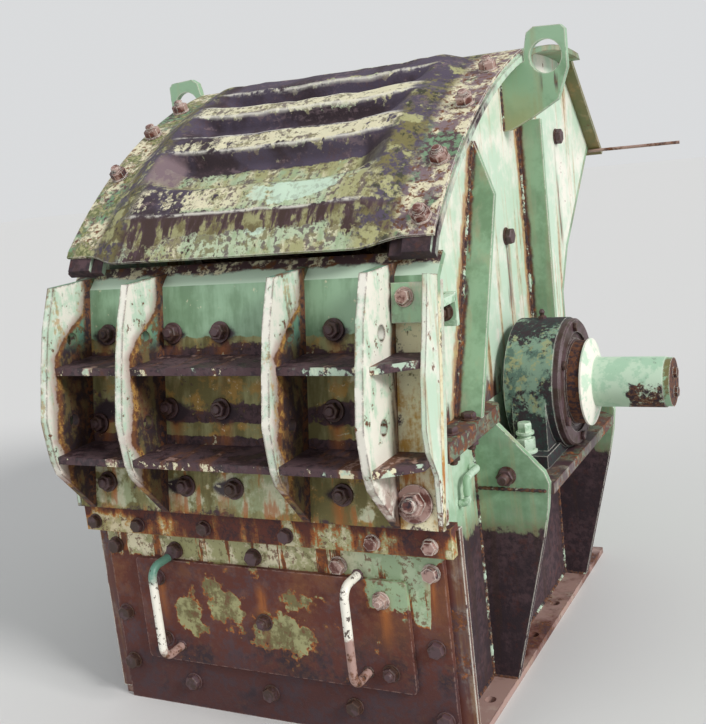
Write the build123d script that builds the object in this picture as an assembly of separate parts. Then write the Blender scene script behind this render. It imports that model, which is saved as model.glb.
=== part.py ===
from build123d import *
import os
from math import asin, atan2, cos, degrees, hypot, radians, sin, sqrt, tan

# Impact mill, in millimetres.
# The shaft axis runs along X, the front faces -Y and Z points up.
# The origin is on the floor, straight below the middle of the shaft.

# Chamber
chamber_width = 652
wall_thickness = 12
axis_height = 544
front_depth = 508
rear_depth = 412
flange_reach = 52
flange_thickness = 16
throat_clearance = 14

# Front of the lower housing
front_plate_thickness = 12
front_plate_side = 26
front_bar_drop = 119
front_bar_height = 54
front_bar_overhang = 3
front_bar_stand = 22
front_bar_thickness = 12
corner_bar_reach = 57

# Access door and its handles
door_width = 587
door_bottom = 103
door_top_drop = 56
door_thickness = 10
handle_rod = 16
handle_spacing = 412
handle_offset = -4
handle_foot_rise = 33
handle_head_rise = 7
handle_reach = 58
handle_bend = 24

# Leaning ribbed panel
panel_lean = 10.6
panel_foot_stand = 20
panel_foot_gap = 3
panel_thickness = 12
panel_length = 424
panel_lip = 49
panel_lip_bend = 34
panel_rib_thickness = 15
panel_rib_places = [0.051, 0.276, 0.669, 0.891]
panel_rib_depth = 128
panel_shelf_thickness = 14
panel_shelf_set_back = 24
upper_shelf_height = 291
lower_shelf_height = 128
panel_end_thickness = 9
panel_end_depth = 60
rib_hole_diameter = 26
rib_hole_out = 55
upper_hole_rise = 43
lower_hole_rise = 54
rib_lip_root = 30
panel_seat_thickness = 12
panel_seat_margin = 8
clamp_plate_height = 67
clamp_plate_gap = 2
clamp_plate_drop = 12
clamp_plate_thickness = 20
liner_thickness = 30
liner_gap = 3
liner_margin = 6
liner_side_gap = 2

# Arched top
arch_radius = 1105
arch_front_ahead = 23
arch_front_above = 38
arch_leg_length = 56
arch_leg_angle = 61
arch_rear_y = 74
arch_rear_rise = 667
arch_flange_thickness = 12
arch_flange_inside = 20
arch_flange_short = 18
cover_packing = 8
packing_inset = 6
cover_thickness = 5
lip_length = 28
lip_margin_length = 12
lip_push = 16
lip_rise = 15
swage_places = [50, 224, 359, 476]
swage_widths = [62, 52, 36, 56]
swage_front_flank = 17
swage_back_flank = 39
swage_height = 24
swage_valley = 9
lap_height = 9
cover_margin = 55
shoulder_slope = 80
pan_slope = 60

# Inlet and chute
inlet_corner_y = 757
inlet_corner_rise = 429
inlet_flange_thickness = 10
inlet_flange_reach = 31
chute_thickness = 12
chute_knee_rise = 123
chute_bend_rise = 223
chute_bend_back = 64
rod_diameter = 8
rod_overhang = 200

# Lifting lugs
lug_y = 80
lug_thickness = 16
lug_hole_diameter = 66
lug_hole_out = 47
lug_hole_drop = 17
lug_side = 43
lug_head = 60
lug_tail = 140
lug_corner = 10

# Side stiffeners
stiffener_thickness = 12
lean_stiffener_foot_y = -333
lean_stiffener_top_y = -120
lean_stiffener_drop = 101
lean_stiffener_taper = 101
upright_stiffener_y = 160
upright_stiffener_drop = 152

# Bearing pedestals
shelf_thickness = 20
shelf_reach = 148
shelf_corner = 30
shelf_half_length = 262
gusset_thickness = 14

# Bearings
bearing_radius = 132
bearing_wall_gap = 24
bearing_length = 98
cap_length = 15
cap_rim = 4
cap_groove = 6
cap_groove_width = 12
cap_hub_radius = 89
foot_half_length = 168
foot_height = 26
foot_length = 84
journal_radius = 55
running_clearance = 0.05
seal_clearance = 1

# Rotor
shaft_radius = 50
core_radius = 65
seal_radius = 52
drive_end_length = 136
end_plate_thickness = 13
end_plate_radius = 48
end_bolt_flats = 19
end_bolt_head = 8
end_bolt_spread = 38
collar_length = 42
collar_hub_length = 26
collar_hub_radius = 84
collar_disc = 4
collar_disc_radius = 88
collar_small_radius = 55
rotor_radius = 370
rotor_side_clearance = 16
rotor_body_radius = 300
bar_count = 4
bar_thickness = 44
bar_depth = 150
bar_slot_depth = 80
pocket_width = 110
pocket_depth = 60

# Seats between pieces that lie against each other
seat_gap = 0.3

# Base
base_flange_thickness = 14
base_flange_reach = 50
anchor_hole_diameter = 22
anchor_hole_inset = 26
anchor_outer_y = 350
anchor_inner_y = 78

# Values that follow from the sizes above
inner_x = chamber_width / 2
wall_x = inner_x + wall_thickness
flange_x = wall_x + flange_reach
lean = radians(panel_lean)
front_bar_top = axis_height - front_bar_drop
front_bar_bottom = front_bar_top - front_bar_height
front_bar_face = front_depth + front_bar_stand
door_top = front_bar_bottom - door_top_drop
front_plate_top = front_bar_top - front_plate_thickness - 4
panel_foot_y = -(front_bar_face + panel_foot_stand)
panel_foot_z = front_bar_top + panel_foot_gap
panel_width = 2 * flange_x
shelf_top = axis_height - bearing_radius
wall_rear = rear_depth - wall_thickness
seat_back = -(panel_thickness + panel_seat_thickness)
bearing_inner_x = wall_x + bearing_wall_gap
bearing_outer_x = bearing_inner_x + bearing_length
cap_end_x = bearing_outer_x + cap_length
collar_start_x = cap_end_x - 2 + seal_clearance
collar_end_x = collar_start_x + collar_length
shaft_end_x = collar_end_x + drive_end_length


def prism_x(outline, low, high):
    """Solid between two X values from an outline drawn in (y, z)."""
    plane = Plane(origin=(low, 0, 0), x_dir=(0, 1, 0), z_dir=(1, 0, 0))
    return extrude(plane * outline, amount=high - low)


def prism_y(outline, low, high):
    """Solid between two Y values from an outline drawn in (x, z)."""
    plane = Plane(origin=(0, high, 0), x_dir=(1, 0, 0), z_dir=(0, -1, 0))
    return extrude(plane * outline, amount=high - low)


def prism_z(outline, low, high):
    """Solid between two Z values from an outline drawn in (x, y)."""
    return extrude(Plane.XY.offset(low) * outline, amount=high - low)


def polygon(*points):
    return make_face(Polyline(*points, close=True))


def block(x0, x1, y0, y1, z0, z1):
    return Pos((x0 + x1) / 2, (y0 + y1) / 2, (z0 + z1) / 2) * Box(x1 - x0, y1 - y0, z1 - z0)


def rod_x(radius, low, high, y=0, z=axis_height):
    return prism_x(Pos(y, z) * Circle(radius), low, high)


def left_of(part):
    return mirror(part, about=Plane.YZ)


# Leaning panel frame: local x is X, local y runs up the plate, local z points out
panel_frame = Location(Plane(origin=(0, panel_foot_y, panel_foot_z), x_dir=(1, 0, 0),
                             z_dir=(0, -cos(lean), sin(lean))))


def panel_point(up, out):
    """The (y, z) of a place that is 'up' along the plate and 'out' from its face."""
    return (panel_foot_y + up * sin(lean) - out * cos(lean),
            panel_foot_z + up * cos(lean) + out * sin(lean))


def panel_up_at(height, out):
    """How far up the plate a place 'out' from its face reaches the given height."""
    return (height - panel_foot_z - out * sin(lean)) / cos(lean)


def lip_corners():
    """Outer and inner corner at the end of the bent lip, in (up, out)."""
    bend = radians(panel_lip_bend)
    tip = (panel_length + panel_lip * cos(bend), -panel_lip * sin(bend))
    return [tip, (tip[0] - panel_thickness * sin(bend), tip[1] - panel_thickness * cos(bend))]


# Arch: one arc with a short steeper leg at its front, from above the panel lip to the lugs
lip_tip = panel_point(*lip_corners()[0])
arch_front_y = lip_tip[0] - arch_front_ahead
arch_front_z = lip_tip[1] + arch_front_above
arch_rear_z = axis_height + arch_rear_rise
chord_y = arch_rear_y - arch_front_y
chord_z = arch_rear_z - arch_front_z
chord_share = sqrt(arch_radius ** 2 / (chord_y ** 2 + chord_z ** 2) - 0.25)
arch_centre_y = (arch_front_y + arch_rear_y) / 2 + chord_share * chord_z
arch_centre_z = (arch_front_z + arch_rear_z) / 2 - chord_share * chord_y


def arch_z(y, grow=0):
    return arch_centre_z + sqrt((arch_radius + grow) ** 2 - (y - arch_centre_y) ** 2)


def arch_angle(y):
    return degrees(atan2(arch_z(y) - arch_centre_z, y - arch_centre_y))


def arch_at(angle, grow=0):
    r = arch_radius + grow
    return (arch_centre_y + r * cos(radians(angle)), arch_centre_z + r * sin(radians(angle)))


leg = radians(arch_leg_angle)
front_angle = arch_angle(arch_front_y)
rear_angle = arch_angle(arch_rear_y)


def leg_foot(grow, length=arch_leg_length):
    top = arch_at(front_angle, grow)
    return (top[0] - length * cos(leg), top[1] - length * sin(leg))


def arch_band(inside, outside, last_angle, length):
    """Face between two offsets of the arch line, leg included."""
    middle = (front_angle + last_angle) / 2
    edges = [
        Line(leg_foot(inside, length), arch_at(front_angle, inside)),
        ThreePointArc(arch_at(front_angle, inside), arch_at(middle, inside), arch_at(last_angle, inside)),
        Line(arch_at(last_angle, inside), arch_at(last_angle, outside)),
        ThreePointArc(arch_at(last_angle, outside), arch_at(middle, outside), arch_at(front_angle, outside)),
        Line(arch_at(front_angle, outside), leg_foot(outside, length)),
        Line(leg_foot(outside, length), leg_foot(inside, length)),
    ]
    return make_face(edges)


# The inlet lies in a plane that slopes at 45 degrees
inlet_corner_z = axis_height + inlet_corner_rise
inlet_sum = inlet_corner_y + inlet_corner_z
inlet_back = inlet_sum - inlet_flange_thickness * sqrt(2)
chute_low_z = inlet_corner_z + inlet_flange_reach / sqrt(2)
flange_top = -cover_packing
top_under = flange_top - arch_flange_thickness


def top_end(grow):
    """Angle at which the arch, grown by 'grow', meets the back of the inlet flange."""
    r = arch_radius + grow
    reach = (inlet_back - arch_centre_y - arch_centre_z) / sqrt(2)
    return 45 + degrees(asin(sqrt(max(0, 1 - (reach / r) ** 2))))


def lower_wall():
    seat_y = panel_point(panel_up_at(front_bar_top, seat_back), seat_back)[0]
    high_y = panel_point(panel_up_at(axis_height, seat_back), seat_back)[0]
    front = -front_depth + front_plate_thickness
    outline = polygon((front, 0), (front, front_bar_top), (seat_y, front_bar_top),
                      (high_y, axis_height), (wall_rear, axis_height), (wall_rear, 0))
    wall = prism_x(outline, inner_x, wall_x)
    return wall - rod_x(core_radius + throat_clearance, inner_x, wall_x)


def wall_rear_points():
    """Rear outline of the upper wall, from the split up the chute to the inlet."""
    return [(wall_rear, axis_height), (wall_rear, axis_height + chute_knee_rise),
            (wall_rear + chute_bend_back, axis_height + chute_bend_rise),
            (inlet_back - chute_low_z, chute_low_z)]


def upper_wall():
    top = top_end(top_under)
    rear = wall_rear_points()
    seat_low = panel_point(panel_up_at(axis_height, seat_back), seat_back)
    seat_high = panel_point(panel_length - panel_seat_margin, seat_back)
    lip_end = panel_point(*lip_corners()[1])
    lip_back = (lip_end[0] + panel_foot_gap, lip_end[1])
    start = arch_angle(lip_back[0])
    middle = (top + start) / 2
    edges = [
        Polyline(*rear, arch_at(top, top_under)),
        ThreePointArc(arch_at(top, top_under), arch_at(middle, top_under), arch_at(start, top_under)),
        Polyline(arch_at(start, top_under), lip_back, seat_high, seat_low, rear[0]),
    ]
    wall = prism_x(make_face(edges), inner_x, wall_x)
    return wall - rod_x(core_radius + throat_clearance, inner_x, wall_x)


def split_flange(low, high):
    """Bolted flange along the split, broken where the bearing housing stands."""
    rear_part = block(wall_x, flange_x, bearing_radius + 20, wall_rear, low, high)
    start = panel_point(panel_up_at(axis_height + flange_thickness, seat_back), seat_back)[0] + 4
    front_part = block(wall_x, flange_x, start, -bearing_radius - 83, low, high)
    corner = front_part.edges().filter_by(Axis.Z).group_by(Axis.X)[-1].sort_by(Axis.Y)[-1]
    return [fillet(corner, 30), rear_part]


def front_plate():
    half = flange_x - front_plate_side
    return block(-half, half, -front_depth, -front_depth + front_plate_thickness, 0, front_plate_top)


def front_bar():
    """Angle bar across the front, under the ribbed panel."""
    half = flange_x + front_bar_overhang
    face = block(-half, half, -front_bar_face, -front_bar_face + front_bar_thickness,
                 front_bar_bottom, front_bar_top)
    top = block(-half, half, -front_bar_face, -front_depth + front_plate_thickness,
                front_bar_top - front_bar_thickness, front_bar_top)
    packer = block(-half, half, -front_bar_face + front_bar_thickness, -front_depth,
                   front_bar_bottom, front_bar_top - front_bar_thickness)
    return face + top + packer


def corner_bar():
    """Flat bar up the front corner, behind the edge of the front plate."""
    y = -front_depth + front_plate_thickness
    return block(wall_x, wall_x + corner_bar_reach, y, y + wall_thickness, base_flange_thickness,
                 front_bar_top - front_bar_thickness)


def base_flange():
    """Foot flange along one side with its anchor holes."""
    y0 = -front_depth + front_plate_thickness
    bar = block(wall_x, wall_x + base_flange_reach, y0, rear_depth, 0, base_flange_thickness)
    for y in anchor_places():
        bar -= Pos(anchor_x(), y, 0) * Cylinder(anchor_hole_diameter / 2, 3 * base_flange_thickness)
    return bar


def anchor_x():
    return wall_x + base_flange_reach - anchor_hole_inset


def anchor_places():
    return [-anchor_outer_y, -anchor_inner_y, anchor_inner_y, anchor_outer_y]


def rear_plate():
    return block(-wall_x, wall_x, wall_rear, rear_depth, 0, axis_height)


def upper_rear_plate():
    """Bent plate that closes the rear and forms the floor of the chute."""
    points = wall_rear_points()
    outer = [(y + chute_thickness, z - chute_thickness * 0.4) for y, z in points[1:-1]]
    outer.append((points[-1][0] + chute_thickness * 0.7, points[-1][1] - chute_thickness * 0.7))
    outline = polygon(*points, *reversed(outer), (wall_rear + chute_thickness, axis_height))
    return prism_x(outline, -wall_x, wall_x)


def top_plate():
    """Curved plate from the cover back to the inlet."""
    start = rear_angle - degrees(panel_foot_gap / arch_radius)
    low_end = top_end(top_under)
    high_end = top_end(flange_top)
    middle = (start + high_end) / 2
    edges = [
        ThreePointArc(arch_at(start, top_under), arch_at(middle, top_under), arch_at(low_end, top_under)),
        Line(arch_at(low_end, top_under), arch_at(high_end, flange_top)),
        ThreePointArc(arch_at(high_end, flange_top), arch_at(middle, flange_top), arch_at(start, flange_top)),
        Line(arch_at(start, flange_top), arch_at(start, top_under)),
    ]
    return prism_x(make_face(edges), -flange_x, flange_x)


def arch_flange():
    """Curved flange on top of one side wall, with the packing strip under the cover."""
    length = arch_leg_length - arch_flange_short
    flange = arch_band(top_under, flange_top, rear_angle, length)
    packing = arch_band(flange_top, 0, rear_angle, length)
    return (prism_x(flange, inner_x - arch_flange_inside, flange_x)
            + prism_x(packing, wall_x - packing_inset, flange_x - packing_inset))


def swage_line(pan, shoulder):
    """Cover from front to rear as (distance along the arch, height).

    pan presses the valleys between the crests in, shoulder lifts the whole pressed field.
    """
    field = shoulder * swage_height
    valley = field - pan * (swage_height + swage_valley)
    line = [(0, shoulder * lip_rise)]
    for place, width in zip(swage_places, swage_widths):
        if place > swage_places[0]:
            line.append((place - swage_front_flank, valley))
        line += [(place, field), (place + width, field), (place + width + swage_back_flank, valley)]
    line[-1] = (line[-1][0], 0)
    # the upper half of the cover laps over the lower half behind the second crest
    lap = swage_places[1] + swage_widths[1]
    raised = lap_height * (1 - pan)
    return [(at, height + raised if lap <= at <= lap + swage_back_flank else height) for at, height in line]


def cover_section(x, pan, shoulder):
    """Closed outline of the cover at one X."""
    line = [(front_angle - degrees(at / arch_radius), height) for at, height in swage_line(pan, shoulder)]
    line.append((rear_angle, 0))
    outer = span_arcs(line, cover_thickness)
    inner = span_arcs(line[::-1], 0)
    lift = shoulder * lip_rise
    push = shoulder * lip_push
    reach = lip_margin_length + shoulder * (lip_length - lip_margin_length)
    feet = [(y - push * sin(leg), z + push * cos(leg))
            for y, z in (leg_foot(0, reach), leg_foot(cover_thickness, reach))]
    front = [Line(feet[0], feet[1]), Line(feet[1], arch_at(front_angle, cover_thickness + lift))]
    tail = Line(arch_at(rear_angle, cover_thickness), arch_at(rear_angle, 0))
    back = Line(arch_at(front_angle, lift), feet[0])
    plane = Plane(origin=(x, 0, 0), x_dir=(0, 1, 0), z_dir=(1, 0, 0))
    return Wire([plane * edge for edge in front + outer + [tail] + inner + [back]])


def span_arcs(line, grow):
    """Arcs through a list of (angle, lift) along the arch."""
    arcs = []
    for (a, up), (b, down) in zip(line, line[1:]):
        middle = arch_at((a + b) / 2, grow + (up + down) / 2)
        arcs.append(ThreePointArc(arch_at(a, grow + up), middle, arch_at(b, grow + down)))
    return arcs


def top_cover():
    """Curved cover: level margins, raised shoulders and a field of crests pressed in between."""
    margin_x = flange_x - cover_margin
    shoulder_x = margin_x - shoulder_slope
    pan_x = shoulder_x - pan_slope
    half = [(pan_x, 1, 1), (shoulder_x, 0, 1), (margin_x, 0, 0), (flange_x, 0, 0)]
    stations = [(-x, pan, shoulder) for x, pan, shoulder in half[::-1]] + half
    sections = [cover_section(*station) for station in stations]
    pieces = [Solid.make_loft([a, b], ruled=True) for a, b in zip(sections, sections[1:])]
    cover = pieces[0]
    for piece in pieces[1:]:
        cover = cover.fuse(piece)
    return cover


def panel_plate():
    """Leaning plate with its top bent back into a lip."""
    t = panel_thickness
    turn = t * tan(radians(panel_lip_bend) / 2)
    outline = polygon((0, 0), (panel_length, 0), *lip_corners(), (panel_length - turn, -t), (0, -t))
    return panel_frame * prism_x(outline, -panel_width / 2, panel_width / 2)


def rib_outline():
    """Faceted rib profile in (up, out) of the panel frame."""
    d = panel_rib_depth
    up = panel_length / 100
    bend = radians(panel_lip_bend)
    lip = (panel_length + rib_lip_root * cos(bend), -rib_lip_root * sin(bend))
    return polygon((0, 0), (18 * up, 0.73 * d), (24 * up, 0.84 * d), (31 * up, 0.91 * d),
                   (42 * up, 1.01 * d), (65 * up, 0.98 * d), (82 * up, 0.93 * d),
                   (panel_length + 3, 0.79 * d), lip, (panel_length, 0))


def panel_rib(x):
    half = panel_rib_thickness / 2
    rib = prism_x(rib_outline(), x - half, x + half)
    for rise in (upper_shelf_height + upper_hole_rise, lower_shelf_height + lower_hole_rise):
        up = panel_up_at(panel_foot_z + rise, rib_hole_out)
        rib -= rod_x(rib_hole_diameter / 2, x - half, x + half, up, rib_hole_out)
    return panel_frame * rib


def rib_places():
    """Middle of each rib, from its share of the panel width."""
    return [(share - 0.5) * panel_width for share in panel_rib_places]


def panel_shelf(rise):
    """Level shelf in five lengths, between the ribs and out to the end plates."""
    height = panel_foot_z + rise
    places = rib_places()
    t = panel_shelf_thickness
    depth = panel_rib_depth - panel_shelf_set_back
    edges = [-panel_width / 2 + panel_end_thickness]
    for x in places:
        edges += [x - panel_rib_thickness / 2, x + panel_rib_thickness / 2]
    edges.append(panel_width / 2 - panel_end_thickness)
    pieces = []
    for low, high in zip(edges[0::2], edges[1::2]):
        root_top = panel_point(panel_up_at(height, 0), 0)
        root_low = panel_point(panel_up_at(height - t, 0), 0)
        front = panel_point(panel_up_at(height, depth), depth)[0]
        outline = polygon(root_top, (front, height), (front, height - t), root_low)
        piece = prism_x(outline, low, high)
        if low < places[0] or high > places[-1] + panel_rib_thickness:
            rib_side = high if low < 0 else low
            end_side = low if low < 0 else high
            short = front + depth - panel_end_depth + 6
            cut = Polyline((rib_side, front), (end_side, short), (end_side, front - 50),
                           (rib_side, front - 50), close=True)
            piece -= prism_z(make_face(cut), height - 2 * t, height + t)
        pieces.append(piece)
    return pieces


def panel_end():
    d = panel_end_depth
    up = panel_length / 100
    outline = polygon((0, 0), (22 * up, 0.25 * d), (32 * up, 0.8 * d), (41 * up, d), (62 * up, d),
                      (78 * up, 0.83 * d), (panel_length, 0.7 * d), (panel_length, 0))
    half = panel_width / 2
    return panel_frame * prism_x(outline, half - panel_end_thickness, half)


def panel_seat():
    """Leaning flange of the housing that the panel is bolted to."""
    low = panel_seat_margin
    high = panel_length - panel_seat_margin
    outline = polygon((low, -panel_thickness), (high, -panel_thickness), (high, seat_back), (low, seat_back))
    return panel_frame * prism_x(outline, inner_x, flange_x)


def liner():
    """Wear plates inside the panel, held by its bolts."""
    back = -panel_thickness
    half = inner_x - liner_side_gap
    top = panel_length - liner_thickness / 2 - liner_margin
    length = (top - liner_margin - liner_gap) / 2
    pieces = []
    for low in (liner_margin, top - length):
        outline = polygon((low, back), (low + length, back), (low + length, back - liner_thickness),
                          (low, back - liner_thickness))
        pieces.append(panel_frame * prism_x(outline, -half, half))
    return pieces


def inlet_flange():
    """Sloping frame that the feed hopper is bolted to."""
    roof_z = arch_at(top_end(top_under), top_under)[1]
    middle_z = (chute_low_z + roof_z) / 2
    plane = Plane(origin=(0, inlet_sum - middle_z, middle_z), x_dir=(1, 0, 0), z_dir=(0, 1, 1))
    opening = (roof_z - chute_low_z) * sqrt(2)
    frame = (Rectangle(2 * (wall_x + inlet_flange_reach), opening + 2 * inlet_flange_reach)
             - Rectangle(2 * inner_x, opening - 2 * wall_thickness))
    return extrude(Location(plane) * frame, amount=-inlet_flange_thickness)


def flange_rod():
    """Thin rod left lying in the corner under the inlet flange."""
    off = (rod_diameter / 2 + seat_gap) / sqrt(2)
    low = inlet_corner_z + rod_diameter
    return rod_x(rod_diameter / 2, wall_x + seat_gap, wall_x + inlet_flange_reach + rod_overhang,
                 inlet_back - low - off, low - off)


def lug_hole():
    """Middle of the shackle hole, in (x, z)."""
    return (flange_x + lug_hole_out, arch_z(lug_y) - lug_hole_drop)


def lifting_lug():
    """Plate lug under the flange of the side wall, its head outside the flange."""
    x, z = lug_hole()
    side = lug_side
    c = lug_corner
    neck = flange_x + 2
    under = arch_z(lug_y - lug_thickness / 2, top_under) - seat_gap
    shoulder = (x - side + 0.7 * c, z + lug_head - c)
    outline = polygon((wall_x, under), (wall_x, z - lug_tail), (wall_x + 17, z - lug_tail + 2),
                      (x - 0.84 * side, z - 0.84 * lug_tail), (x + 0.47 * side, z - 0.62 * lug_tail),
                      (x + side, z - 0.19 * lug_tail), (x + side, z + lug_head - 1.2 * c),
                      (x + side - 0.9 * c, z + lug_head - 0.3 * c), (x - 0.47 * side, z + lug_head),
                      shoulder, (neck, z + c), (neck, under))
    lug = prism_y(outline, lug_y - lug_thickness / 2, lug_y + lug_thickness / 2)
    hole = prism_y(Pos(x, z) * Circle(lug_hole_diameter / 2), lug_y - lug_thickness,
                   lug_y + lug_thickness)
    return lug - hole


def stiffeners():
    """The leaning and the upright stiffener on one side wall."""
    low = axis_height + flange_thickness
    t = stiffener_thickness
    foot = lean_stiffener_foot_y
    head = lean_stiffener_top_y
    high = arch_z(head) - lean_stiffener_drop
    leaning = polygon((foot, low), (foot + t, low), (head + t, high), (head, high))
    rib = prism_x(leaning, wall_x, flange_x)
    taper = polygon((wall_x + t / 4, high), (wall_x + t / 4, high + t), (flange_x + t, high + t),
                    (flange_x + t, high - lean_stiffener_taper), (flange_x, high - lean_stiffener_taper))
    rib -= prism_y(taper, foot, head + 2 * t)
    near = upright_stiffener_y
    upright = block(wall_x, flange_x, near, near + t, low, arch_z(near) - upright_stiffener_drop)
    return [rib, upright]


def pedestal_shelf():
    half = shelf_half_length - gusset_thickness
    shelf = block(wall_x, wall_x + shelf_reach, -half, half, shelf_top - shelf_thickness, shelf_top)
    corner = shelf.edges().filter_by(Axis.Z).group_by(Axis.X)[-1].sort_by(Axis.Y)[-1]
    return chamfer(corner, shelf_corner)


def gusset_outline():
    """Gusset from the split flange down to the foot, widest beside the shelf."""
    top = axis_height - flange_thickness
    tip = wall_x + shelf_reach - 4
    return polygon((wall_x, base_flange_thickness), (wall_x, top), (flange_x, top),
                   (tip - 8, shelf_top + 26), (tip, shelf_top + 4),
                   (tip - 6, shelf_top - 2.3 * shelf_thickness), (tip - 20, shelf_top - 5.6 * shelf_thickness),
                   (flange_x, base_flange_thickness))


def pedestal_gussets():
    low = -shelf_half_length
    front = prism_y(gusset_outline(), low, low + gusset_thickness)
    rear = prism_y(gusset_outline(), -low - gusset_thickness, -low)
    return [front, rear]


def bearing_housing():
    """Round housing on a foot with two bolt ears."""
    base = shelf_top
    barrel = rod_x(bearing_radius, bearing_inner_x, bearing_outer_x)
    middle = (bearing_inner_x + bearing_outer_x) / 2
    low = middle - foot_length / 2
    high = middle + foot_length / 2
    foot = block(low, high, -foot_half_length, foot_half_length, base, base + foot_height)
    cheek = polygon((-bearing_radius, axis_height), (-bearing_radius - 4, base + foot_height),
                    (bearing_radius + 4, base + foot_height), (bearing_radius, axis_height))
    body = barrel + foot + prism_x(cheek, low + 8, high - 8)
    return body - rod_x(journal_radius + running_clearance, bearing_inner_x - 1, bearing_outer_x + 1)


def bearing_cap(bore):
    """Turned cap with a groove round its face; 'bore' is 0 on the closed end."""
    r = bearing_radius
    x0 = bearing_outer_x
    x1 = bearing_outer_x + cap_length
    hub = cap_hub_radius
    floor = x1 - cap_groove
    points = [(x0, bore), (x0, r - 3), (x1 - cap_rim, r - 3), (x1, r - 3 - cap_rim),
              (x1, hub + cap_groove_width), (floor, hub + cap_groove_width), (floor, hub), (x1 - 2, hub),
              (x1 - 2, bore)]
    face = make_face(Polyline(*points, close=True))
    return Pos(0, 0, axis_height) * revolve(face, axis=Axis.X)


def shaft():
    """Stepped shaft: core in the rotor, journals in the bearings, drive end to the right."""
    half_core = wall_x - 2
    journal_end = bearing_outer_x - 2
    core = rod_x(core_radius, -half_core, half_core)
    journals = rod_x(journal_radius, -journal_end, journal_end)
    seal = rod_x(seal_radius, journal_end, collar_end_x)
    drive = rod_x(shaft_radius, collar_end_x, shaft_end_x)
    return core + journals + seal + drive


def collar():
    """Cone-shaped seal collar that turns with the shaft outside the right cap."""
    x0 = collar_start_x
    x1 = collar_end_x
    disc = x0 + collar_hub_length
    points = [(x0, seal_radius), (x0, collar_hub_radius), (disc, collar_hub_radius),
              (disc, collar_disc_radius), (disc + collar_disc, collar_disc_radius),
              (x1, collar_small_radius), (x1, seal_radius)]
    return Pos(0, 0, axis_height) * revolve(make_face(Polyline(*points, close=True)), axis=Axis.X)


def shaft_end_plate():
    """Round plate on the shaft's end, with the heads of its two bolts."""
    face = shaft_end_x + end_plate_thickness
    plate = rod_x(end_plate_radius, shaft_end_x, face)
    for side in (-1, 1):
        head = RegularPolygon(end_bolt_flats / 2, 6, major_radius=False)
        plate += prism_x(Pos(0, axis_height + side * end_bolt_spread / 2) * head, face, face + end_bolt_head)
    return plate


def rotor_half_width():
    return inner_x - rotor_side_clearance


def bar_slot(n):
    """Place of one blow bar, from the bottom of its slot outwards."""
    turn = 360 / bar_count * n + 20
    return Pos(0, 0, axis_height) * Rot(X=turn)


def rotor_body():
    half = rotor_half_width()
    drum = rod_x(rotor_body_radius, -half, half) - rod_x(core_radius, -half, half)
    for n in range(bar_count):
        slot = block(-half, half, -bar_thickness / 2, bar_thickness / 2,
                     rotor_body_radius - bar_slot_depth, rotor_radius)
        pocket = block(-half, half, bar_thickness / 2, bar_thickness / 2 + pocket_width,
                       rotor_body_radius - pocket_depth, rotor_radius)
        drum -= bar_slot(n) * slot
        drum -= bar_slot(n) * pocket
    return drum


def blow_bars():
    """Hammer bars that stand out of the rotor."""
    half = rotor_half_width()
    low = rotor_body_radius - bar_slot_depth
    bars = []
    for n in range(bar_count):
        bar = block(-half, half, -bar_thickness / 2, bar_thickness / 2, low, low + bar_depth)
        bars.append(bar_slot(n) * bar)
    return bars


def access_door():
    half = door_width / 2
    y = -front_depth
    plate = block(-half, half, y - door_thickness, y, door_bottom, door_top)
    corners = plate.edges().filter_by(Axis.Y)
    return fillet(corners, 8)


def handle(x):
    """Round bar bent into a D, its legs welded to the door."""
    face = -front_depth - door_thickness
    z0 = door_bottom + handle_foot_rise
    z1 = door_top + handle_head_rise
    path = FilletPolyline((x, face, z0), (x, face - handle_reach, z0), (x, face - handle_reach, z1),
                          (x, face, z1), radius=handle_bend)
    ring = Plane(origin=(x, face, z0), z_dir=(0, -1, 0)) * Circle(handle_rod / 2)
    return sweep(ring, path=path)


def clamp_plate():
    """Square packing plate at the upper corner of the panel."""
    high = panel_length - clamp_plate_drop
    t = clamp_plate_thickness
    low = high - clamp_plate_height
    inner = rib_places()[-1] + panel_rib_thickness / 2 + clamp_plate_gap
    outer = panel_width / 2 - panel_end_thickness - clamp_plate_gap
    return panel_frame * prism_x(polygon((low, 0), (high, 0), (high, t), (low, t)), inner, outer)


def both(part):
    """A piece of the right side and its twin on the left."""
    return [part, left_of(part)]


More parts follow.
